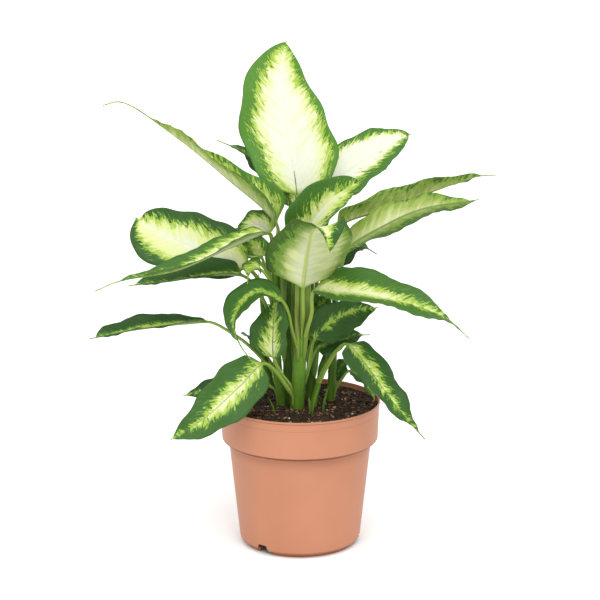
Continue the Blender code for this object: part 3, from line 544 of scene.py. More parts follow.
def leaf_stations(leaf):
    """Each ring of a leaf from its stem to its tip: share of the blade, radius, centre, heading and right."""
    path, base_knot = leaf_path(leaf)
    base = path.knot_along[base_knot]
    length = path.along[-1] - base
    face_base, face_tip = (unit(np.array(face, dtype=float)) for face in (leaf.face_base, leaf.face_tip))
    count = max(LEAST_RINGS, round(length / RING_SPACING))
    stations = []
    for step in reversed(range(count + 1)):
        share = crowded(step / count)
        distance = base + length * share
        heading = path.heading(distance)
        right = unit(np.cross(heading, face_base + (face_tip - face_base) * share))
        stations.append((share, petiole_radius(leaf, 1.0), path.place(distance), heading, right))
    for step in reversed(range(PETIOLE_RINGS)):
        share = step / PETIOLE_RINGS
        heading = path.heading(base * share) if step or leaf.height else np.array([0.0, 0.0, 1.0])
        right = unit(right - np.dot(right, heading) * heading)
        radius = petiole_radius(leaf, share)
        centre = sunk(leaf, path.place(base * share), radius, share)
        stations.append((0.0, radius, centre, heading, right))
    stations.append((0.0, radius, centre - heading * (FOOT_INSET + SEAT_GAP), heading, right))
    return stations[::-1], length


def make_leaf(leaf, seed, surface):
    """A leaf: petiole, midrib and blade in one closed piece."""
    stations, length = leaf_stations(leaf)
    paint = leaf.paint
    rings = []
    values = {"blade": [], "paint": [], "tone": [], "stalk": []}
    for along, radius, centre, heading, right in stations:
        section = leaf_section(leaf, along, radius, centre, heading, right, length)
        upper, lower, vein, across, edge, flat = section
        rings.append(np.vstack([upper, lower[::-1]]))
        count = len(rings[-1])
        vein, across, edge = (np.concatenate([part, part[::-1]]) for part in (vein, across, edge))
        is_upper = np.repeat((1.0, 0.0), len(upper))
        values["blade"].append(columns(count, vein, across, seed * SEED_STEP))
        values["paint"].append(columns(count, edge, paint.white, is_upper))
        values["tone"].append(columns(count, paint.dark, paint.fringe, paint.lime))
        values["stalk"].append(columns(count, flat, along, paint.rib))
    obj = closed_tube(f"blade_{leaf.name}", rings, values)
    finish_piece(obj, surface, "leaf", f"leaf_{leaf.name}")


def stalk(name, path, count, profile, tone, surface, *nodes):
    """One stem or petiole along a path. Its profile gives radius, grain and scar at a share and a height, and
    its tone is how dark it is painted for shade and how pale it is."""
    rings, stem, tones = [], [], []
    sides = len(STALK_TURNS)
    for step in range(count + 1):
        centre = path.place(path.along[-1] * step / count)
        radius, grain, scar = profile(step / count, centre[2])
        rings.append(centre + columns(sides, np.cos(STALK_TURNS) * radius, np.sin(STALK_TURNS) * radius, 0.0))
        stem.append(columns(sides, grain, centre[2], scar))
        tones.append(columns(sides, *tone, 0.0))
    finish_piece(closed_tube(name, rings, {"stem": stem, "tone": tones}), surface, "stem", *nodes)


class Surface:
    """A material that is put together node by node."""

    def __init__(self, name):
        self.material = bpy.data.materials.new(name)
        self.material.use_nodes = True
        self.tree = self.material.node_tree

    def feed(self, socket, value):
        """Link a socket to an output, or set it to a plain number or colour."""
        if isinstance(value, bpy.types.NodeSocket):
            self.tree.links.new(value, socket)
        elif isinstance(value, (int, float)):
            socket.default_value = value
        else:
            socket.default_value = (*value, 1.0)

    def node(self, kind, inputs=(), output=0, **settings):
        """The output of a new node with its settings and inputs."""
        node = self.tree.nodes.new(kind)
        for name, value in settings.items():
            setattr(node, name, value)
        for key, value in dict(inputs).items():
            self.feed(node.inputs[key], value)
        return node.outputs[output]

    def maths(self, operation, *values, clamp=False):
        """One sum of plain numbers or outputs."""
        return self.node("ShaderNodeMath", enumerate(values), operation=operation, use_clamp=clamp)

    def total(self, *values):
        """All values added up."""
        return reduce(partial(self.maths, "ADD"), values)

    def product(self, *values):
        """All values multiplied."""
        return reduce(partial(self.maths, "MULTIPLY"), values)

    def step(self, value, low, high):
        """Zero below low and one above high, with a soft change."""
        inputs = {"Value": value, "From Min": low, "From Max": high}
        return self.node("ShaderNodeMapRange", inputs, "Result", interpolation_type="SMOOTHSTEP")

    def mix(self, share, first, second):
        """A mix of two colours."""
        return self.node("ShaderNodeMix", {0: share, 6: first, 7: second}, 2, data_type="RGBA")

    def blend(self, share, first, second):
        """A mix of two numbers."""
        return self.node("ShaderNodeMix", {0: share, 2: first, 3: second}, data_type="FLOAT")

    def coated(self, colour, *coats):
        """A colour under coats of paint, each with its share and its own colour."""
        for share, coat in coats:
            colour = self.mix(share, colour, coat)
        return colour

    def parts(self, vector):
        """The three numbers of a vector."""
        node = self.tree.nodes.new("ShaderNodeSeparateXYZ")
        self.feed(node.inputs[0], vector)
        return tuple(node.outputs)

    def values(self, name):
        """The three numbers that the mesh keeps under a name."""
        return self.parts(self.node("ShaderNodeAttribute", output="Vector", attribute_name=name))

    def place(self):
        """The place on the object."""
        return self.node("ShaderNodeTexCoord", output="Object")

    def vector(self, *parts):
        """A vector from its three parts."""
        return self.node("ShaderNodeCombineXYZ", enumerate(parts))

    def noise(self, vector, scale, detail=2.0, roughness=0.5):
        """Soft random values round a half."""
        inputs = {"Vector": vector, "Scale": scale, "Detail": detail, "Roughness": roughness}
        return self.node("ShaderNodeTexNoise", inputs, "Fac")

    def cells(self, vector, scale):
        """Distance to the nearest of many scattered points."""
        return self.node("ShaderNodeTexVoronoi", {"Vector": vector, "Scale": scale}, "Distance")

    def bump(self, height, distance, strength, **before):
        """A relief of a height from zero to one, at a depth in metres, over the Normal before it."""
        inputs = {"Strength": strength, "Distance": distance, "Height": height, **before}
        return self.node("ShaderNodeBump", inputs)

    def finish(self, colour, roughness, normal, gloss):
        """Set the shader's inputs and give back the material."""
        shader = self.tree.nodes["Principled BSDF"]
        inputs = {"Base Color": colour, "Roughness": roughness, "Normal": normal, "Specular IOR Level": gloss}
        for name, value in inputs.items():
            self.feed(shader.inputs[name], value)
        return self.material


def leaf_surface(settings):
    """Variegated leaf: pale middle, ragged border of dashes along its veins, green margin, pale underside."""
    s = Surface("leaf_variegated")
    vein, distance, seed = s.values("blade")
    edge, white, upper = s.values("paint")
    dark, fringe, lime = s.values("tone")
    flat, along, rib = s.values("stalk")
    green, dark_green = settings.green, settings.dark_green
    deep_green = s.mix(0.4, green, dark_green)

    def dashes(place, along_veins, across_veins, shift, detail, roughness=0.5):
        """Random values round zero, drawn out along the side veins."""
        along_it, across_it = s.product(place, along_veins), s.product(distance, across_veins)
        drawn_out = s.vector(along_it, across_it, s.total(seed, shift))
        return s.maths("SUBTRACT", s.noise(drawn_out, 1.0, detail, roughness), 0.5)

    patches = dashes(vein, 0.08, 0.08, 0.0, 1.0)
    bends = dashes(vein, 0.22, 0.12, 3.0, 2.0)
    drift = s.total(vein, s.product(patches, 8.0), s.product(bends, 7.0))
    outer_dashes = dashes(drift, 0.3, 0.13, 0.0, 5.0, 0.7)
    inner_dashes = dashes(drift, 0.3, 0.12, 5.0, 5.0, 0.7)
    short_dashes = dashes(drift, 0.75, 0.2, 9.0, 4.0)
    streaks = dashes(drift, 0.2, 0.035, 7.0, 3.0)
    uneven = s.product(patches, fringe, 1.2)
    border = s.total(edge, s.product(outer_dashes, fringe, 4.0), s.product(short_dashes, fringe, 2.0), uneven)
    inner = s.total(edge, s.product(inner_dashes, fringe, 4.0), uneven)
    share = s.maths("DIVIDE", inner, s.blend(lime, 2.0, 8.5))
    reach = s.maths("ABSOLUTE", distance)
    whiteness = s.total(white, s.product(streaks, 2.4), s.product(s.step(reach, 7.0, 0.0), 0.4))
    specks = s.product(s.step(short_dashes, 0.1, 0.15), s.step(inner, -12.0, -3.0), 0.85)
    near_border = s.product(s.step(border, 0.0, 1.5), s.step(border, 7.0, 2.0))
    bright = s.product(s.step(short_dashes, -0.1, -0.17), near_border, lime)
    bent_vein = s.total(vein, s.product(patches, 6.0), s.product(bends, 4.0))
    line = s.step(s.maths("PINGPONG", bent_vein, VEIN_SPACING / 2), 0.6, 0.0)
    margin = s.step(border, 0.0, 4.0)
    upper_side = s.coated(
        s.mix(whiteness, settings.cream, settings.white),
        (s.product(s.step(share, -2.6, -0.5), 0.9), settings.cream),
        (s.step(s.total(share, s.product(streaks, -2.5)), -1.2, -0.1), settings.lime),
        (specks, deep_green),
        (s.step(border, -0.5, 0.6), green),
        (bright, settings.lime),
        # The dark margin: the leaf's own darker green, and painted shade on the leaves that lie in shade deep
        # in the plant
        (s.product(margin, dark), dark_green),
        (s.product(line, s.step(border, 2.0, -4.0), 0.16), s.mix(white, settings.white, settings.vein)),
        (s.product(line, margin, 0.07), settings.lime),
    )
    open_veins = s.maths("SUBTRACT", 1.0, rib)
    tinting = s.blend(s.step(edge, -6.0, -22.0), 0.7, 0.3)
    vein_reach = s.step(s.total(edge, s.product(streaks, 20.0)), -1.0, -10.0)
    pale_veins = s.product(s.step(streaks, -0.05, 0.1), vein_reach)
    # Olive greens the underside's pale part inside its border: partly the leaf's own colour, partly painted
    # shade along a leaf's shaded edge
    olive = s.product(s.step(edge, -16.0, -1.0), s.step(border, 1.0, -1.0), dark, open_veins, 0.65)
    middle = s.product(s.step(reach, 18.0, 1.0), s.step(along, 0.75, 0.1), white, open_veins, 0.6)
    underside = s.coated(
        upper_side,
        (s.blend(s.step(border, -2.0, 1.0), tinting, 0.15), settings.underside),
        (s.product(pale_veins, s.blend(rib, 0.75, 0.3)), settings.vein),
        (olive, green),
        (middle, settings.white),
    )
    blade = s.mix(upper, underside, upper_side)
    rib_width = s.blend(upper, s.blend(rib, s.blend(along, 2.4, 0.8), 0.6), s.blend(along, 1.0, 0.35))
    rib_share = s.step(s.maths("DIVIDE", reach, rib_width), 1.15, 0.75)
    pale_rib = s.mix(upper, settings.rib, s.mix(0.7, settings.rib, blade))
    midrib = s.mix(rib, pale_rib, s.mix(0.6, green, dark_green))
    mottle = s.noise(s.place(), 260.0, 3.0)
    stalk_streaks = s.noise(s.vector(s.product(distance, 1.5), seed, 0.0), 1.0)
    petiole = s.mix(s.step(stalk_streaks, 0.35, 0.65), settings.petiole, settings.petiole_light)
    blade = s.mix(s.product(rib_share, s.blend(upper, 0.85, s.blend(rib, 0.4, 0.8))), blade, midrib)
    shade = s.product(s.maths("SUBTRACT", mottle, 0.4, clamp=True), 0.3, s.step(border, -6.0, 2.0), flat)
    colour = s.mix(shade, s.mix(flat, petiole, blade), dark_green)
    relief = s.bump(s.noise(s.place(), 900.0), 0.0001, 0.4, Normal=s.bump(line, -0.00025, 0.5))
    return s.finish(colour, s.total(s.blend(upper, 0.55, 0.4), s.product(mottle, 0.14)), relief, 0.2)


def stem_surface(settings):
    """Stem: fresh green with fine long streaks, pale rings at the leaf scars, a brownish foot, and painted
    shade on the stems behind and low down.
    """
    s = Surface("stem_fresh_green")
    around, height, scar = s.values("stem")
    shaded, pale, _ = s.values("tone")
    streaks = s.noise(s.vector(s.product(around, 0.7), s.product(height, 0.03), 0.0), 1.0, 3.0)
    blotches = s.noise(s.place(), 60.0)
    foot = s.step(s.total(height, s.product(blotches, 12.0)), 166.0, 150.0)
    # Painted shade: the stems grow darker low down among the leaves
    low = s.product(s.step(height, 235.0, 160.0), 0.5)
    colour = s.coated(
        s.mix(s.step(streaks, 0.3, 0.7), settings.colour, settings.light),
        (s.product(s.step(blotches, 0.5, 0.75), 0.4), settings.dark),
        (s.product(scar, 0.5), settings.scar),
        (pale, s.mix(s.step(streaks, 0.35, 0.6), settings.scar, settings.sheath)),
        (s.product(foot, 0.4), settings.scar),
        # Painted shade on the stems that stand behind and low down
        (s.maths("MAXIMUM", shaded, low), settings.dark),
    )
    return s.finish(colour, s.total(0.4, s.product(blotches, 0.2)), s.bump(streaks, 0.0004, 0.5), 0.2)


# Heights on the pot where it is darker: painted shade right under the collar and a softer painted shadow on
# the body below it, the fine lines at its lip and below it, and painted shade at the foot
COLLAR_SHADE_START = (111.6, 113.4)
COLLAR_SHADE_END = (116.2, 115.7)
SHADOW_START = (98.0, 110.5)
SHADOW_END = (112.0, 110.5)
LIP_LINE = 153.4
SEAM_LINE = 145.6
FOOT_SHADE = (6.6, 5.8)


def pot_surface(settings):
    """Moulded plastic: even terracotta, fine grain, faint scuffs, and painted shade under the collar and at
    the foot.
    """
    s = Surface("pot_matte_plastic")
    place = s.place()
    clouds = s.noise(place, 16.0)
    scuffs = s.step(s.noise(place, 140.0, 5.0, 0.75), 0.68, 0.8)
    height = s.product(s.parts(place)[2], 1.0 / MM)

    def near(middle, outer, inner):
        """One close to a height and zero further off."""
        return s.step(s.maths("ABSOLUTE", s.maths("SUBTRACT", height, middle)), outer, inner)

    # Painted shade right under the collar, a softer painted shadow on the body below it, the fine darker
    # lines at the lip and below it, and painted shade at the foot
    shares = (
        s.product(s.step(height, *COLLAR_SHADE_START), s.step(height, *COLLAR_SHADE_END), 0.85),
        s.product(s.step(height, *SHADOW_START), s.step(height, *SHADOW_END), 0.2),
        s.product(near(LIP_LINE, 0.7, 0.2), 0.5),
        s.product(near(SEAM_LINE, 0.6, 0.1), 0.22),
        s.product(s.step(height, *FOOT_SHADE), 0.35),
    )
    colour = s.coated(
        s.mix(s.step(clouds, 0.3, 0.75), settings.colour, settings.light),
        (s.product(scuffs, 0.2), settings.light),
        *((share, settings.dark) for share in shares),
    )
    rough = s.total(settings.roughness - 0.06, s.product(clouds, 0.1), s.product(scuffs, -0.1))
    grain = s.bump(s.noise(place, 2600.0), 0.00005, 0.5)
    return s.finish(colour, rough, s.bump(clouds, 0.0004, 0.2, Normal=grain), 0.3)


def soil_surface(settings):
    """Peat: very dark brown with lighter specks and a rough, crumbly relief."""
    s = Surface("soil_peat")
    place = s.place()
    coarse = s.noise(place, 260.0, 4.0, 0.6)
    fine = s.noise(place, 1400.0, 4.0, 0.7)
    specks = s.step(s.cells(place, 700.0), 0.16, 0.08)
    peat = s.mix(s.step(coarse, 0.35, 0.7), settings.colour, settings.light)
    relief = s.bump(coarse, 0.0016, 0.7, Normal=s.bump(fine, 0.0008, 0.8))
    colour = s.mix(s.product(specks, 0.4), peat, settings.bark)
    return s.finish(colour, s.total(0.82, s.product(fine, 0.15)), relief, 0.25)


def litter_surface(name, first, second, depth):
    """Loose bits: each has its own tone between two colours, with a fibrous grain."""
    s = Surface(name)
    grain = s.noise(s.place(), 800.0, 4.0, 0.7)
    colour = s.mix(s.total(s.product(s.values("tone")[0], 0.8), s.product(grain, 0.2)), first, second)
    return s.finish(colour, s.total(0.75, s.product(grain, 0.2)), s.bump(grain, depth, 0.8), 0.3)


FLOOR_SHADE = 0.985


def floor_surface(white):
    """Plain pale floor with a very faint unevenness."""
    s = Surface("floor_pale")
    clouds = s.noise(s.place(), 3.0)
    colour = s.mix(clouds, white, [FLOOR_SHADE * part for part in white])
    return s.finish(colour, s.total(0.7, s.product(clouds, 0.1)), s.bump(clouds, 0.0001, 0.1), 0.4)


def colour_setting(name, description, default):
    """A colour that a user can set."""
    return FloatVectorProperty(name=name, description=description, default=default, subtype="COLOR")


def length_setting(name, description, default):
    """A length that a user can set, with its default in millimetres."""
    return FloatProperty(name=name, description=description, default=default * MM, unit="LENGTH")


def count_setting(name, description, default):
    """A whole number of pieces that a user can set."""
    return IntProperty(name=name, description=description, default=default, min=0)


class PotSettings(bpy.types.PropertyGroup):
    rim_radius: length_setting("Rim radius", "Outer radius of the pot's rim", 85.0)
    height: length_setting("Height", "Height of the pot", 155.6)
    wall: length_setting("Wall", "Thickness of the pot's wall", 1.6)
    sides: IntProperty(name="Sides", description="Number of flat sides round the pot", default=160, min=24)
    roughness: FloatProperty(
        name="Roughness", description="Roughness of the plastic", default=0.5, min=0.0, max=1.0,
        subtype="FACTOR")
    colour: colour_setting("Colour", "Colour of the plastic", (0.43, 0.178, 0.097))
    light: colour_setting("Light colour", "Cloudy and scuffed places", (0.458, 0.194, 0.108))
    # The dark colour is the painted shade under the collar and at the foot
    dark: colour_setting("Dark colour", "Dirt under the collar and at the foot", (0.13, 0.042, 0.018))


class SoilSettings(bpy.types.PropertyGroup):
    mound: length_setting("Mound", "How much higher the soil is at the stems", 2.6)
    crumbs: count_setting("Crumbs", "Number of loose crumbs of peat", 900)
    chips: count_setting("Bark chips", "Number of chips of bark", 650)
    grains: count_setting("White grains", "Number of perlite grains", 60)
    colour: colour_setting("Colour", "Colour of moist peat", (0.011, 0.006, 0.0035))
    light: colour_setting("Light colour", "Drier places", (0.05, 0.026, 0.012))
    bark: colour_setting("Bark colour", "Colour of bark chips", (0.36, 0.18, 0.08))


class StemSettings(bpy.types.PropertyGroup):
    scar_spacing: length_setting("Ring spacing", "Distance between the rings round a stem", 15.0)
    colour: colour_setting("Colour", "Main green of the stems", (0.08, 0.205, 0.008))
    light: colour_setting("Light colour", "Light streaks", (0.15, 0.3, 0.02))
    # The dark colour is also the painted shade on the stems behind and low down
    dark: colour_setting("Dark colour", "Dark blotches", (0.02, 0.055, 0.004))
    sheath: colour_setting("Sheath colour", "Young petioles", (0.25, 0.32, 0.065))
    scar: colour_setting("Ring colour", "Rings and the stem's foot", (0.15, 0.17, 0.04))


class LeafSettings(bpy.types.PropertyGroup):
    white: colour_setting("White", "Middle of the palest leaves", (0.63, 0.645, 0.54))
    cream: colour_setting("Cream", "Middle of the yellower leaves", (0.57, 0.63, 0.22))
    lime: colour_setting("Lime", "Border of the pale part", (0.29, 0.42, 0.05))
    green: colour_setting("Green", "Margin of the leaf", (0.07, 0.19, 0.022))
    # Dark green is also the painted shade on the leaves that lie in shade deep in the plant
    dark_green: colour_setting("Dark green", "Outer margin of dark leaves", (0.016, 0.06, 0.009))
    vein: colour_setting("Vein", "Side veins of both sides", (0.58, 0.62, 0.27))
    rib: colour_setting("Rib", "Pale midrib", (0.4, 0.47, 0.11))
    underside: colour_setting("Underside", "Tint of the underside", (0.17, 0.25, 0.035))
    petiole: colour_setting("Petiole", "Leaf stalk", (0.125, 0.225, 0.02))
    petiole_light: colour_setting("Petiole light", "Light streaks of a leaf stalk", (0.25, 0.35, 0.065))


class StageSettings(bpy.types.PropertyGroup):
    floor: colour_setting("Floor colour", "Colour of the floor", (0.94, 0.94, 0.94))
    sky: FloatProperty(name="Sky", description="Strength of the light from all round", default=1.1, min=0.0)
    key: FloatProperty(name="Key light", description="Strength of the soft main light", default=1.9, min=0.0)
    spread: FloatProperty(name="Spread", description="Width of the main light", default=0.9, subtype="ANGLE")
    lens: FloatProperty(name="Lens", description="Focal length in millimetres", default=117.78, min=10.0)
    distance: length_setting("Distance", "Camera to the pot", 2000.0)
    height: length_setting("Camera height", "Camera over the floor", 751.0)
    tilt: FloatProperty(
        name="Tilt", description="How far the camera looks down", default=0.2387, subtype="ANGLE")


# Pot, in millimetres beside the sizes that can be set
COLLAR_HEIGHT = 40.2
COLLAR_FOOT_RADIUS = 82.9
NECK_RADIUS = 75.5
NECK_DROP = 5.5
BODY_FOOT_RADIUS = 64.4
BODY_FOOT_HEIGHT = 6.4
SKIRT_FOOT_RADIUS = 63.2
SKIRT_FOOT_HEIGHT = 4.6
FOOT_RADIUS = 58.2
FOOT_RING_WIDTH = 3.2
FLOOR_UNDERSIDE = 2.5
CENTRE_PAD_RADIUS = 18.0
LIP_WIDTH = 0.6
LIP_HEIGHT = 2.2
EDGE_ROUNDING = 1.1
INNER_LIP_ROUNDING = 0.3
EDGE_STEPS = 5
SHARP_ANGLE = math.radians(25.0)
SAME_PLACE = 0.01
SLOT_COUNT = 3
SLOT_ANGLE = math.radians(-128.0)
SLOT_INNER_RADIUS = 49.0
SLOT_OUTER_RADIUS = 70.0
SLOT_TOP_WIDTH = 10.0
SLOT_FOOT_WIDTH = 19.0
SLOT_HEIGHT = 11.0
SLOT_FOOT = -1.0


def pot_outside(rim, height):
    """The corners of the pot's outer profile, from the axis to the rim: radius, height and rounding."""
    collar_foot = height - COLLAR_HEIGHT
    return [
        (0.0, 0.0, 0.0),
        (CENTRE_PAD_RADIUS, 0.0, 0.0),
        (CENTRE_PAD_RADIUS + FLOOR_UNDERSIDE, FLOOR_UNDERSIDE, 0.0),
        (FOOT_RADIUS - FOOT_RING_WIDTH, FLOOR_UNDERSIDE, 0.0),
        (FOOT_RADIUS - FOOT_RING_WIDTH, 0.0, 0.0),
        (FOOT_RADIUS, 0.0, 0.0),
        (FOOT_RADIUS, SKIRT_FOOT_HEIGHT, 0.0),
        (SKIRT_FOOT_RADIUS, SKIRT_FOOT_HEIGHT, 0.0),
        (BODY_FOOT_RADIUS, BODY_FOOT_HEIGHT, EDGE_ROUNDING),
        (NECK_RADIUS, collar_foot - NECK_DROP, 0.0),
        (COLLAR_FOOT_RADIUS, collar_foot, EDGE_ROUNDING),
        (rim - LIP_WIDTH, height - LIP_HEIGHT, 0.0),
        (rim, height - LIP_HEIGHT + LIP_WIDTH, 0.0),
        (rim, height, LIP_WIDTH),
    ]


def pot_inside(rim, height, wall, gap=0.0):
    """The corners of the pot's inner profile, from the rim down to the axis, drawn in by a gap."""
    collar_foot = height - COLLAR_HEIGHT
    inset = wall + gap
    return [
        (rim - inset, height, INNER_LIP_ROUNDING),
        (COLLAR_FOOT_RADIUS - inset, collar_foot + inset, 0.0),
        (NECK_RADIUS - inset, collar_foot - NECK_DROP + gap, 0.0),
        (BODY_FOOT_RADIUS - inset, BODY_FOOT_HEIGHT + gap, 0.0),
        (FOOT_RADIUS - gap, SKIRT_FOOT_HEIGHT + inset, 0.0),
        (FOOT_RADIUS - inset, FLOOR_UNDERSIDE + inset, 0.0),
        (0.0, FLOOR_UNDERSIDE + inset, 0.0),
    ]


def rounded(corners, steps):
    """The points of a profile, with each corner that has a rounding turned into a short curve."""
    places = [Vector(corner[:2]) for corner in corners]
    points = []
    for index, (*_, rounding) in enumerate(corners):
        place = places[index]
        if not rounding:
            points.append(place)
            continue
        before = place + (places[index - 1] - place).normalized() * rounding
        after = place + (places[index + 1] - place).normalized() * rounding
        for step in range(steps + 1):
            share = step / steps
            points.append(before.lerp(place, share).lerp(place.lerp(after, share), share))
    return points


def spun(name, profile, sides):
    """A closed solid turned about the vertical axis from a profile that starts and ends on it."""
    deselect()
    bpy.ops.mesh.primitive_circle_add(vertices=len(profile), radius=1.0)
    obj = new_object(name)
    for point, (radius, height) in zip(obj.data.vertices, profile):
        point.co = (radius * MM, 0.0, height * MM)
    last = len(profile) - 1
    for edge in obj.data.edges:
        edge.select = set(edge.vertices) == {0, last}
    for point in obj.data.vertices:
        point.select = False
    bpy.ops.object.mode_set(mode="EDIT")
    bpy.ops.mesh.select_mode(type="EDGE")
    bpy.ops.mesh.delete(type="EDGE")
    bpy.ops.mesh.select_all(action="SELECT")
    bpy.ops.mesh.spin(steps=sides, angle=math.tau, center=(0, 0, 0), axis=(0, 0, 1))
    bpy.ops.mesh.select_all(action="SELECT")
    bpy.ops.mesh.remove_doubles(threshold=SAME_PLACE * MM)
    bpy.ops.mesh.normals_make_consistent(inside=False)
    bpy.ops.object.mode_set(mode="OBJECT")
    bpy.ops.object.shade_smooth_by_angle(angle=SHARP_ANGLE)
    return obj


def cut_slot(pot, index):
    """Cut one tapered drain slot through the pot's foot."""
    deselect()
    bpy.ops.mesh.primitive_cube_add(size=1.0)
    cutter = new_object(f"slot_{index + 1}")
    turn = Matrix.Rotation(SLOT_ANGLE + math.tau * index / SLOT_COUNT, 3, "Z")
    for point in cutter.data.vertices:
        radius = SLOT_OUTER_RADIUS if point.co.x > 0 else SLOT_INNER_RADIUS
        width = SLOT_TOP_WIDTH if point.co.z > 0 else SLOT_FOOT_WIDTH
        height = SLOT_HEIGHT if point.co.z > 0 else SLOT_FOOT
        point.co = turn @ Vector((radius, math.copysign(width / 2, point.co.y), height)) * MM
    boolean = pot.modifiers.new("slot", "BOOLEAN")
    boolean.operation = "DIFFERENCE"
    boolean.solver = "EXACT"
    boolean.object = cutter
    bpy.context.view_layer.objects.active = pot
    bpy.ops.object.modifier_apply(modifier=boolean.name)
    bpy.data.objects.remove(cutter)


SOIL_EDGE_HEIGHT = 150.2
SOIL_UNEVENNESS = ((0.06, 1.6), (0.17, 1.0), (0.42, 0.7), (0.9, 0.45))
SOIL_LEVEL_EDGE = 6
SOIL_SIDES = 150
SOIL_RINGS = 54
SOIL_CROWDING = 0.2


def soil_height(x, y, radius, mound):
    """The height of the soil's surface: low at the pot's wall, mounded at the stems, and uneven."""
    share = min(math.hypot(x, y) / radius, 1.0)
    place = Vector((x, y, 0.0))
    uneven = sum(height * noise.noise(place * frequency) for frequency, height in SOIL_UNEVENNESS)
    return SOIL_EDGE_HEIGHT + mound * (1.0 - ease(share)) + uneven * (1.0 - share ** SOIL_LEVEL_EDGE)


def soil_wall(pot):
    """The soil's radius at its edge, and its outer profile from there down: radius and height."""
    corners = pot_inside(pot.rim_radius / MM, pot.height / MM, pot.wall / MM, SEAT_GAP)
    wall = [corner[:2] for corner in corners]
    radii, heights = zip(*wall[-2::-1])
    top = float(np.interp(SOIL_EDGE_HEIGHT, heights, radii))
    return top, [(top, SOIL_EDGE_HEIGHT)] + [corner for corner in wall if corner[1] < SOIL_EDGE_HEIGHT]


# Loose bits: how near the pot's wall they lie, how they tilt, how much their sides differ, how high they
# stand and how large they are
LITTER_MARGIN = 2.5
LITTER_TILT = 0.35
LITTER_SIDES = (0.75, 1.25)
LITTER_LIFTS = (0.1, 0.75)
CRUMB_SIZES = (0.7, 2.4)
CHIP_SIZES = (0.5, 2.8)
GRAIN_SIZES = (0.5, 1.2)
CHIP_JITTER = 0.22
GRAIN_COLOURS = ((0.55, 0.52, 0.47), (0.85, 0.84, 0.8))

Shape = namedtuple("Shape", "mesh size")


def scatter(name, count, sizes, shape, seed, top, mound):
    """Many turned and scaled copies of one small shape on the soil, joined in one piece."""
    draw = random.Random(seed)
    heap = bmesh.new()
    tone = heap.verts.layers.float_vector.new("tone")
    feet = [(*stem.knots[0][:2], stem.foot_radius) for stem in STEMS]
    placed = 0
    while placed < count:
        turn = draw.uniform(0, math.tau)
        radius = (top - LITTER_MARGIN) * math.sqrt(draw.random())
        x, y = radius * math.cos(turn), radius * math.sin(turn)
        size = sizes[0] + (sizes[1] - sizes[0]) * draw.random() ** 2
        if any(math.hypot(x - foot_x, y - foot_y) < reach + size for foot_x, foot_y, reach in feet):
            continue
        tilts = [draw.gauss(0, LITTER_TILT) for _ in range(2)]
        lying = Euler((*tilts, draw.uniform(0, math.tau))).to_matrix().to_4x4()
        scale = Matrix.Diagonal((*(size * part * draw.uniform(*LITTER_SIDES) for part in shape.size), 1.0))
        height = soil_height(x, y, top, mound) + size * shape.size[2] * draw.uniform(*LITTER_LIFTS)
        copy = shape.mesh.copy()
        copy.transform(Matrix.Scale(MM, 4) @ Matrix.Translation((x, y, height)) @ lying @ scale)
        before = len(heap.verts)
        heap.from_mesh(copy)
        heap.verts.ensure_lookup_table()
        shade = draw.random()
        for point in heap.verts[before:]:
            point[tone] = (shade, 0.0, 0.0)
        bpy.data.meshes.remove(copy)
        placed += 1
    mesh = bpy.data.meshes.new(name)
    heap.to_mesh(mesh)
    heap.free()
    obj = bpy.data.objects.new(name, mesh)
    bpy.context.scene.collection.objects.link(obj)
    return obj


def jittered(seed, size, jitter):
    """The active object's mesh as a shape to be copied many times, with every point moved at random."""
    obj = bpy.context.active_object
    draw = random.Random(seed)
    for point in obj.data.vertices:
        jitter(point, draw)
    mesh = obj.data
    bpy.data.objects.remove(obj)
    return Shape(mesh, size)


def crumb_shape(subdivisions, unevenness, size, seed):
    """One irregular bit, about two units across."""
    def jitter(point, draw):
        point.co *= 1.0 + draw.uniform(-unevenness, unevenness)

    deselect()
    bpy.ops.mesh.primitive_ico_sphere_add(subdivisions=subdivisions, radius=1.0)
    return jittered(seed, size, jitter)


def chip_shape(size, seed):
    """One flat splinter with broken ends."""
    def jitter(point, draw):
        point.co += Vector([draw.uniform(-CHIP_JITTER, CHIP_JITTER) for _ in range(3)])

    deselect()
    bpy.ops.mesh.primitive_cube_add(size=2.0)
    bpy.ops.object.mode_set(mode="EDIT")
    bpy.ops.mesh.select_all(action="SELECT")
    bpy.ops.mesh.subdivide(number_cuts=1)
    bpy.ops.object.mode_set(mode="OBJECT")
    return jittered(seed, size, jitter)


class PLANT_OT_pot(bpy.types.Operator):
    """Make the pot with its rim, collar, foot and drain slots"""

    bl_idname = "plant.pot"
    bl_label = "Pot"

    def execute(self, context):
        settings = context.scene.plant_pot
        rim, height, wall = (value / MM for value in (settings.rim_radius, settings.height, settings.wall))
        corners = pot_outside(rim, height) + pot_inside(rim, height, wall)
        pot = spun("pot_moulded", rounded(corners, EDGE_STEPS), settings.sides)
        for index in range(SLOT_COUNT):
            cut_slot(pot, index)
        finish_piece(pot, pot_surface(settings), "pot_plastic", "pot")
        return {"FINISHED"}


class PLANT_OT_soil(bpy.types.Operator):
    """Make the soil with its uneven, crumbly top"""

    bl_idname = "plant.soil"
    bl_label = "Soil"

    def execute(self, context):
        settings = context.scene.plant_soil
        top, wall = soil_wall(context.scene.plant_pot)
        surface = []
        for step in range(SOIL_RINGS):
            share = step / SOIL_RINGS
            widening = SOIL_CROWDING * (1.0 - math.cos(math.pi / 2 * share))
            surface.append((top * (widening + (1.0 - SOIL_CROWDING) * share), SOIL_EDGE_HEIGHT))
        soil = spun("soil_surface", surface + wall, SOIL_SIDES)
        for point in soil.data.vertices:
            x, y, z = point.co / MM
            if z > SOIL_EDGE_HEIGHT - SAME_PLACE:
                point.co.z = soil_height(x, y, top, settings.mound / MM) * MM
        finish_piece(soil, soil_surface(settings), "soil", "soil")
        return {"FINISHED"}


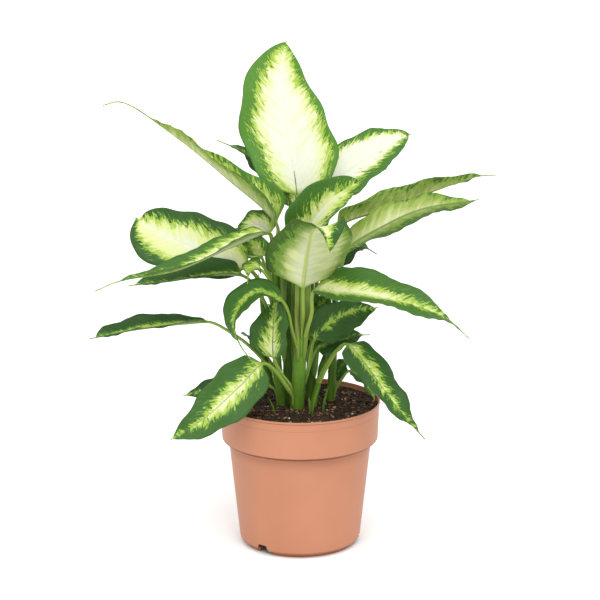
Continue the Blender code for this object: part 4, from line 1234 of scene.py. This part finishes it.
class PLANT_OT_litter(bpy.types.Operator):
    """Scatter crumbs of peat, bark chips and white grains on the soil"""

    bl_idname = "plant.litter"
    bl_label = "Crumbs, bark and grains"

    def execute(self, context):
        settings = context.scene.plant_soil
        top, _ = soil_wall(context.scene.plant_pot)
        peat, bark = (settings.colour, settings.light), (settings.light, settings.bark)

        def strew(name, count, sizes, shape, seed, surface, colours, depth):
            """Scatter one kind of bits and give them their material."""
            bits = scatter(name, count, sizes, shape, seed, top, settings.mound / MM)
            finish_piece(bits, litter_surface(surface, *colours, depth), "soil")

        crumb = crumb_shape(subdivisions=1, unevenness=0.25, size=(1.0, 0.8, 0.7), seed=3)
        strew("soil_crumbs", settings.crumbs, CRUMB_SIZES, crumb, 11, "crumb_peat", peat, 0.0005)
        chip = chip_shape(size=(1.0, 0.45, 0.16), seed=5)
        strew("bark_chips", settings.chips, CHIP_SIZES, chip, 23, "bark_chip", bark, 0.0004)
        grain = crumb_shape(subdivisions=2, unevenness=0.18, size=(1.0, 0.9, 0.8), seed=7)
        strew("white_grains", settings.grains, GRAIN_SIZES, grain, 31, "grain_white", GRAIN_COLOURS, 0.0002)
        return {"FINISHED"}


def scarred(stem, index, spacing, _, height):
    """Radius, grain and scars of a stem at a height, with a ring at every spacing."""
    wobble = SCAR_WOBBLE * np.sin(STALK_TURNS + index * SCAR_TURN)
    place = (height + wobble) % spacing - spacing / 2
    scar = bell(place / SCAR_HALF_WIDTH)
    relief = SCAR_RELIEF * scar - JOINT_TAPER * ease(place / spacing * 2)
    return stem_radius(stem, height) - STALK_INSET + relief, STALK_TURNS * stem.foot_radius, scar


def young(index, foot, middle, top, share, _):
    """Radius and grain of a young petiole at a share of its length, with no scars."""
    radius = np.interp(share, YOUNG_STOPS, (YOUNG_FOOT * foot, foot, middle, top, YOUNG_TIP * top))
    return radius, STALK_TURNS * foot + index * YOUNG_GRAIN_SHIFT, 0.0


class PLANT_OT_stems(bpy.types.Operator):
    """Make the stems with their ring scars, and the young petioles between them"""

    bl_idname = "plant.stems"
    bl_label = "Stems"

    def execute(self, context):
        settings = context.scene.plant_stems
        surface = stem_surface(settings)
        spacing = settings.scar_spacing / MM
        for index, stem in enumerate(STEMS):
            path = stem_path(stem)
            count = round(path.along[-1] / STALK_RING_SPACING)
            profile = partial(scarred, stem, index, spacing)
            stalk(f"stalk_{stem.name}", path, count, profile, (stem.shade, 0.0), surface, f"stem_{stem.name}")
        for index, (knots, foot, middle, top, *tone) in enumerate(SHEATHS):
            profile = partial(young, index, foot, middle, top)
            stalk(f"young_petiole_{index + 1}", Path(knots), YOUNG_RINGS, profile, tone, surface)
        return {"FINISHED"}


class PLANT_OT_leaves(bpy.types.Operator):
    """Make every leaf with its petiole, veins and variegation"""

    bl_idname = "plant.leaves"
    bl_label = "Leaves"

    def execute(self, context):
        surface = leaf_surface(context.scene.plant_leaves)
        for seed, leaf in enumerate(LEAVES):
            make_leaf(leaf, seed, surface)
        return {"FINISHED"}


FLOOR_SIZE = 40.0
FLOOR_PARTS = 8
KEY_PLACE = Vector((0.1, -1.6, 2.2))
SENSOR_WIDTH = 36.0


class PLANT_OT_stage(bpy.types.Operator):
    """Make the floor, the soft lights and the camera"""

    bl_idname = "plant.stage"
    bl_label = "Floor, lights and camera"

    def execute(self, context):
        settings = context.scene.plant_stage
        deselect()
        bpy.ops.mesh.primitive_grid_add(
            x_subdivisions=FLOOR_PARTS, y_subdivisions=FLOOR_PARTS, size=FLOOR_SIZE)
        floor = new_object("floor")
        floor.data.materials.append(floor_surface(settings.floor))
        world = bpy.data.worlds.new("soft_sky")
        context.scene.world = world
        world.use_nodes = True
        background = world.node_tree.nodes["Background"]
        background.inputs["Color"].default_value = (1.0, 1.0, 1.0, 1.0)
        background.inputs["Strength"].default_value = settings.sky
        deselect()
        turn = (-KEY_PLACE).to_track_quat("-Z", "Y").to_euler()
        bpy.ops.object.light_add(type="SUN", location=KEY_PLACE, rotation=turn)
        key = context.active_object
        key.name = "key"
        key.data.energy = settings.key
        key.data.angle = settings.spread
        place = (0.0, -settings.distance, settings.height)
        bpy.ops.object.camera_add(location=place, rotation=(math.pi / 2 - settings.tilt, 0.0, 0.0))
        camera = context.active_object
        camera.name = "camera"
        camera.data.lens = settings.lens
        camera.data.sensor_width = SENSOR_WIDTH
        context.scene.camera = camera
        context.scene.view_settings.view_transform = "Standard"
        return {"FINISHED"}


class PLANT_PT_panel(bpy.types.Panel):
    """The plant's pieces and their settings"""

    bl_idname = "PLANT_PT_panel"
    bl_label = "Potted dieffenbachia"
    bl_space_type = "VIEW_3D"
    bl_region_type = "UI"
    bl_category = "Plant"

    def draw(self, context):
        for operator, settings in zip(OPERATORS, ("pot", "soil", "soil", "stems", "leaves", "stage")):
            self.layout.operator(operator.bl_idname)
            group = getattr(context.scene, f"plant_{settings}")
            for name in group.__annotations__:
                self.layout.prop(group, name)


GROUPS = {
    "plant_pot": PotSettings,
    "plant_soil": SoilSettings,
    "plant_stems": StemSettings,
    "plant_leaves": LeafSettings,
    "plant_stage": StageSettings,
}
OPERATORS = (PLANT_OT_pot, PLANT_OT_soil, PLANT_OT_litter, PLANT_OT_stems, PLANT_OT_leaves, PLANT_OT_stage)


def register():
    for name, group in GROUPS.items():
        bpy.utils.register_class(group)
        setattr(bpy.types.Scene, name, PointerProperty(type=group))
    for operator in OPERATORS:
        bpy.utils.register_class(operator)
    bpy.utils.register_class(PLANT_PT_panel)


def unregister():
    bpy.utils.unregister_class(PLANT_PT_panel)
    for operator in reversed(OPERATORS):
        bpy.utils.unregister_class(operator)
    for name, group in GROUPS.items():
        delattr(bpy.types.Scene, name)
        bpy.utils.unregister_class(group)


def main():
    register()
    bpy.ops.plant.pot()
    bpy.ops.plant.soil()
    bpy.ops.plant.litter()
    bpy.ops.plant.stems()
    bpy.ops.plant.leaves()
    bpy.ops.plant.stage()


if __name__ == "__main__":
    main()
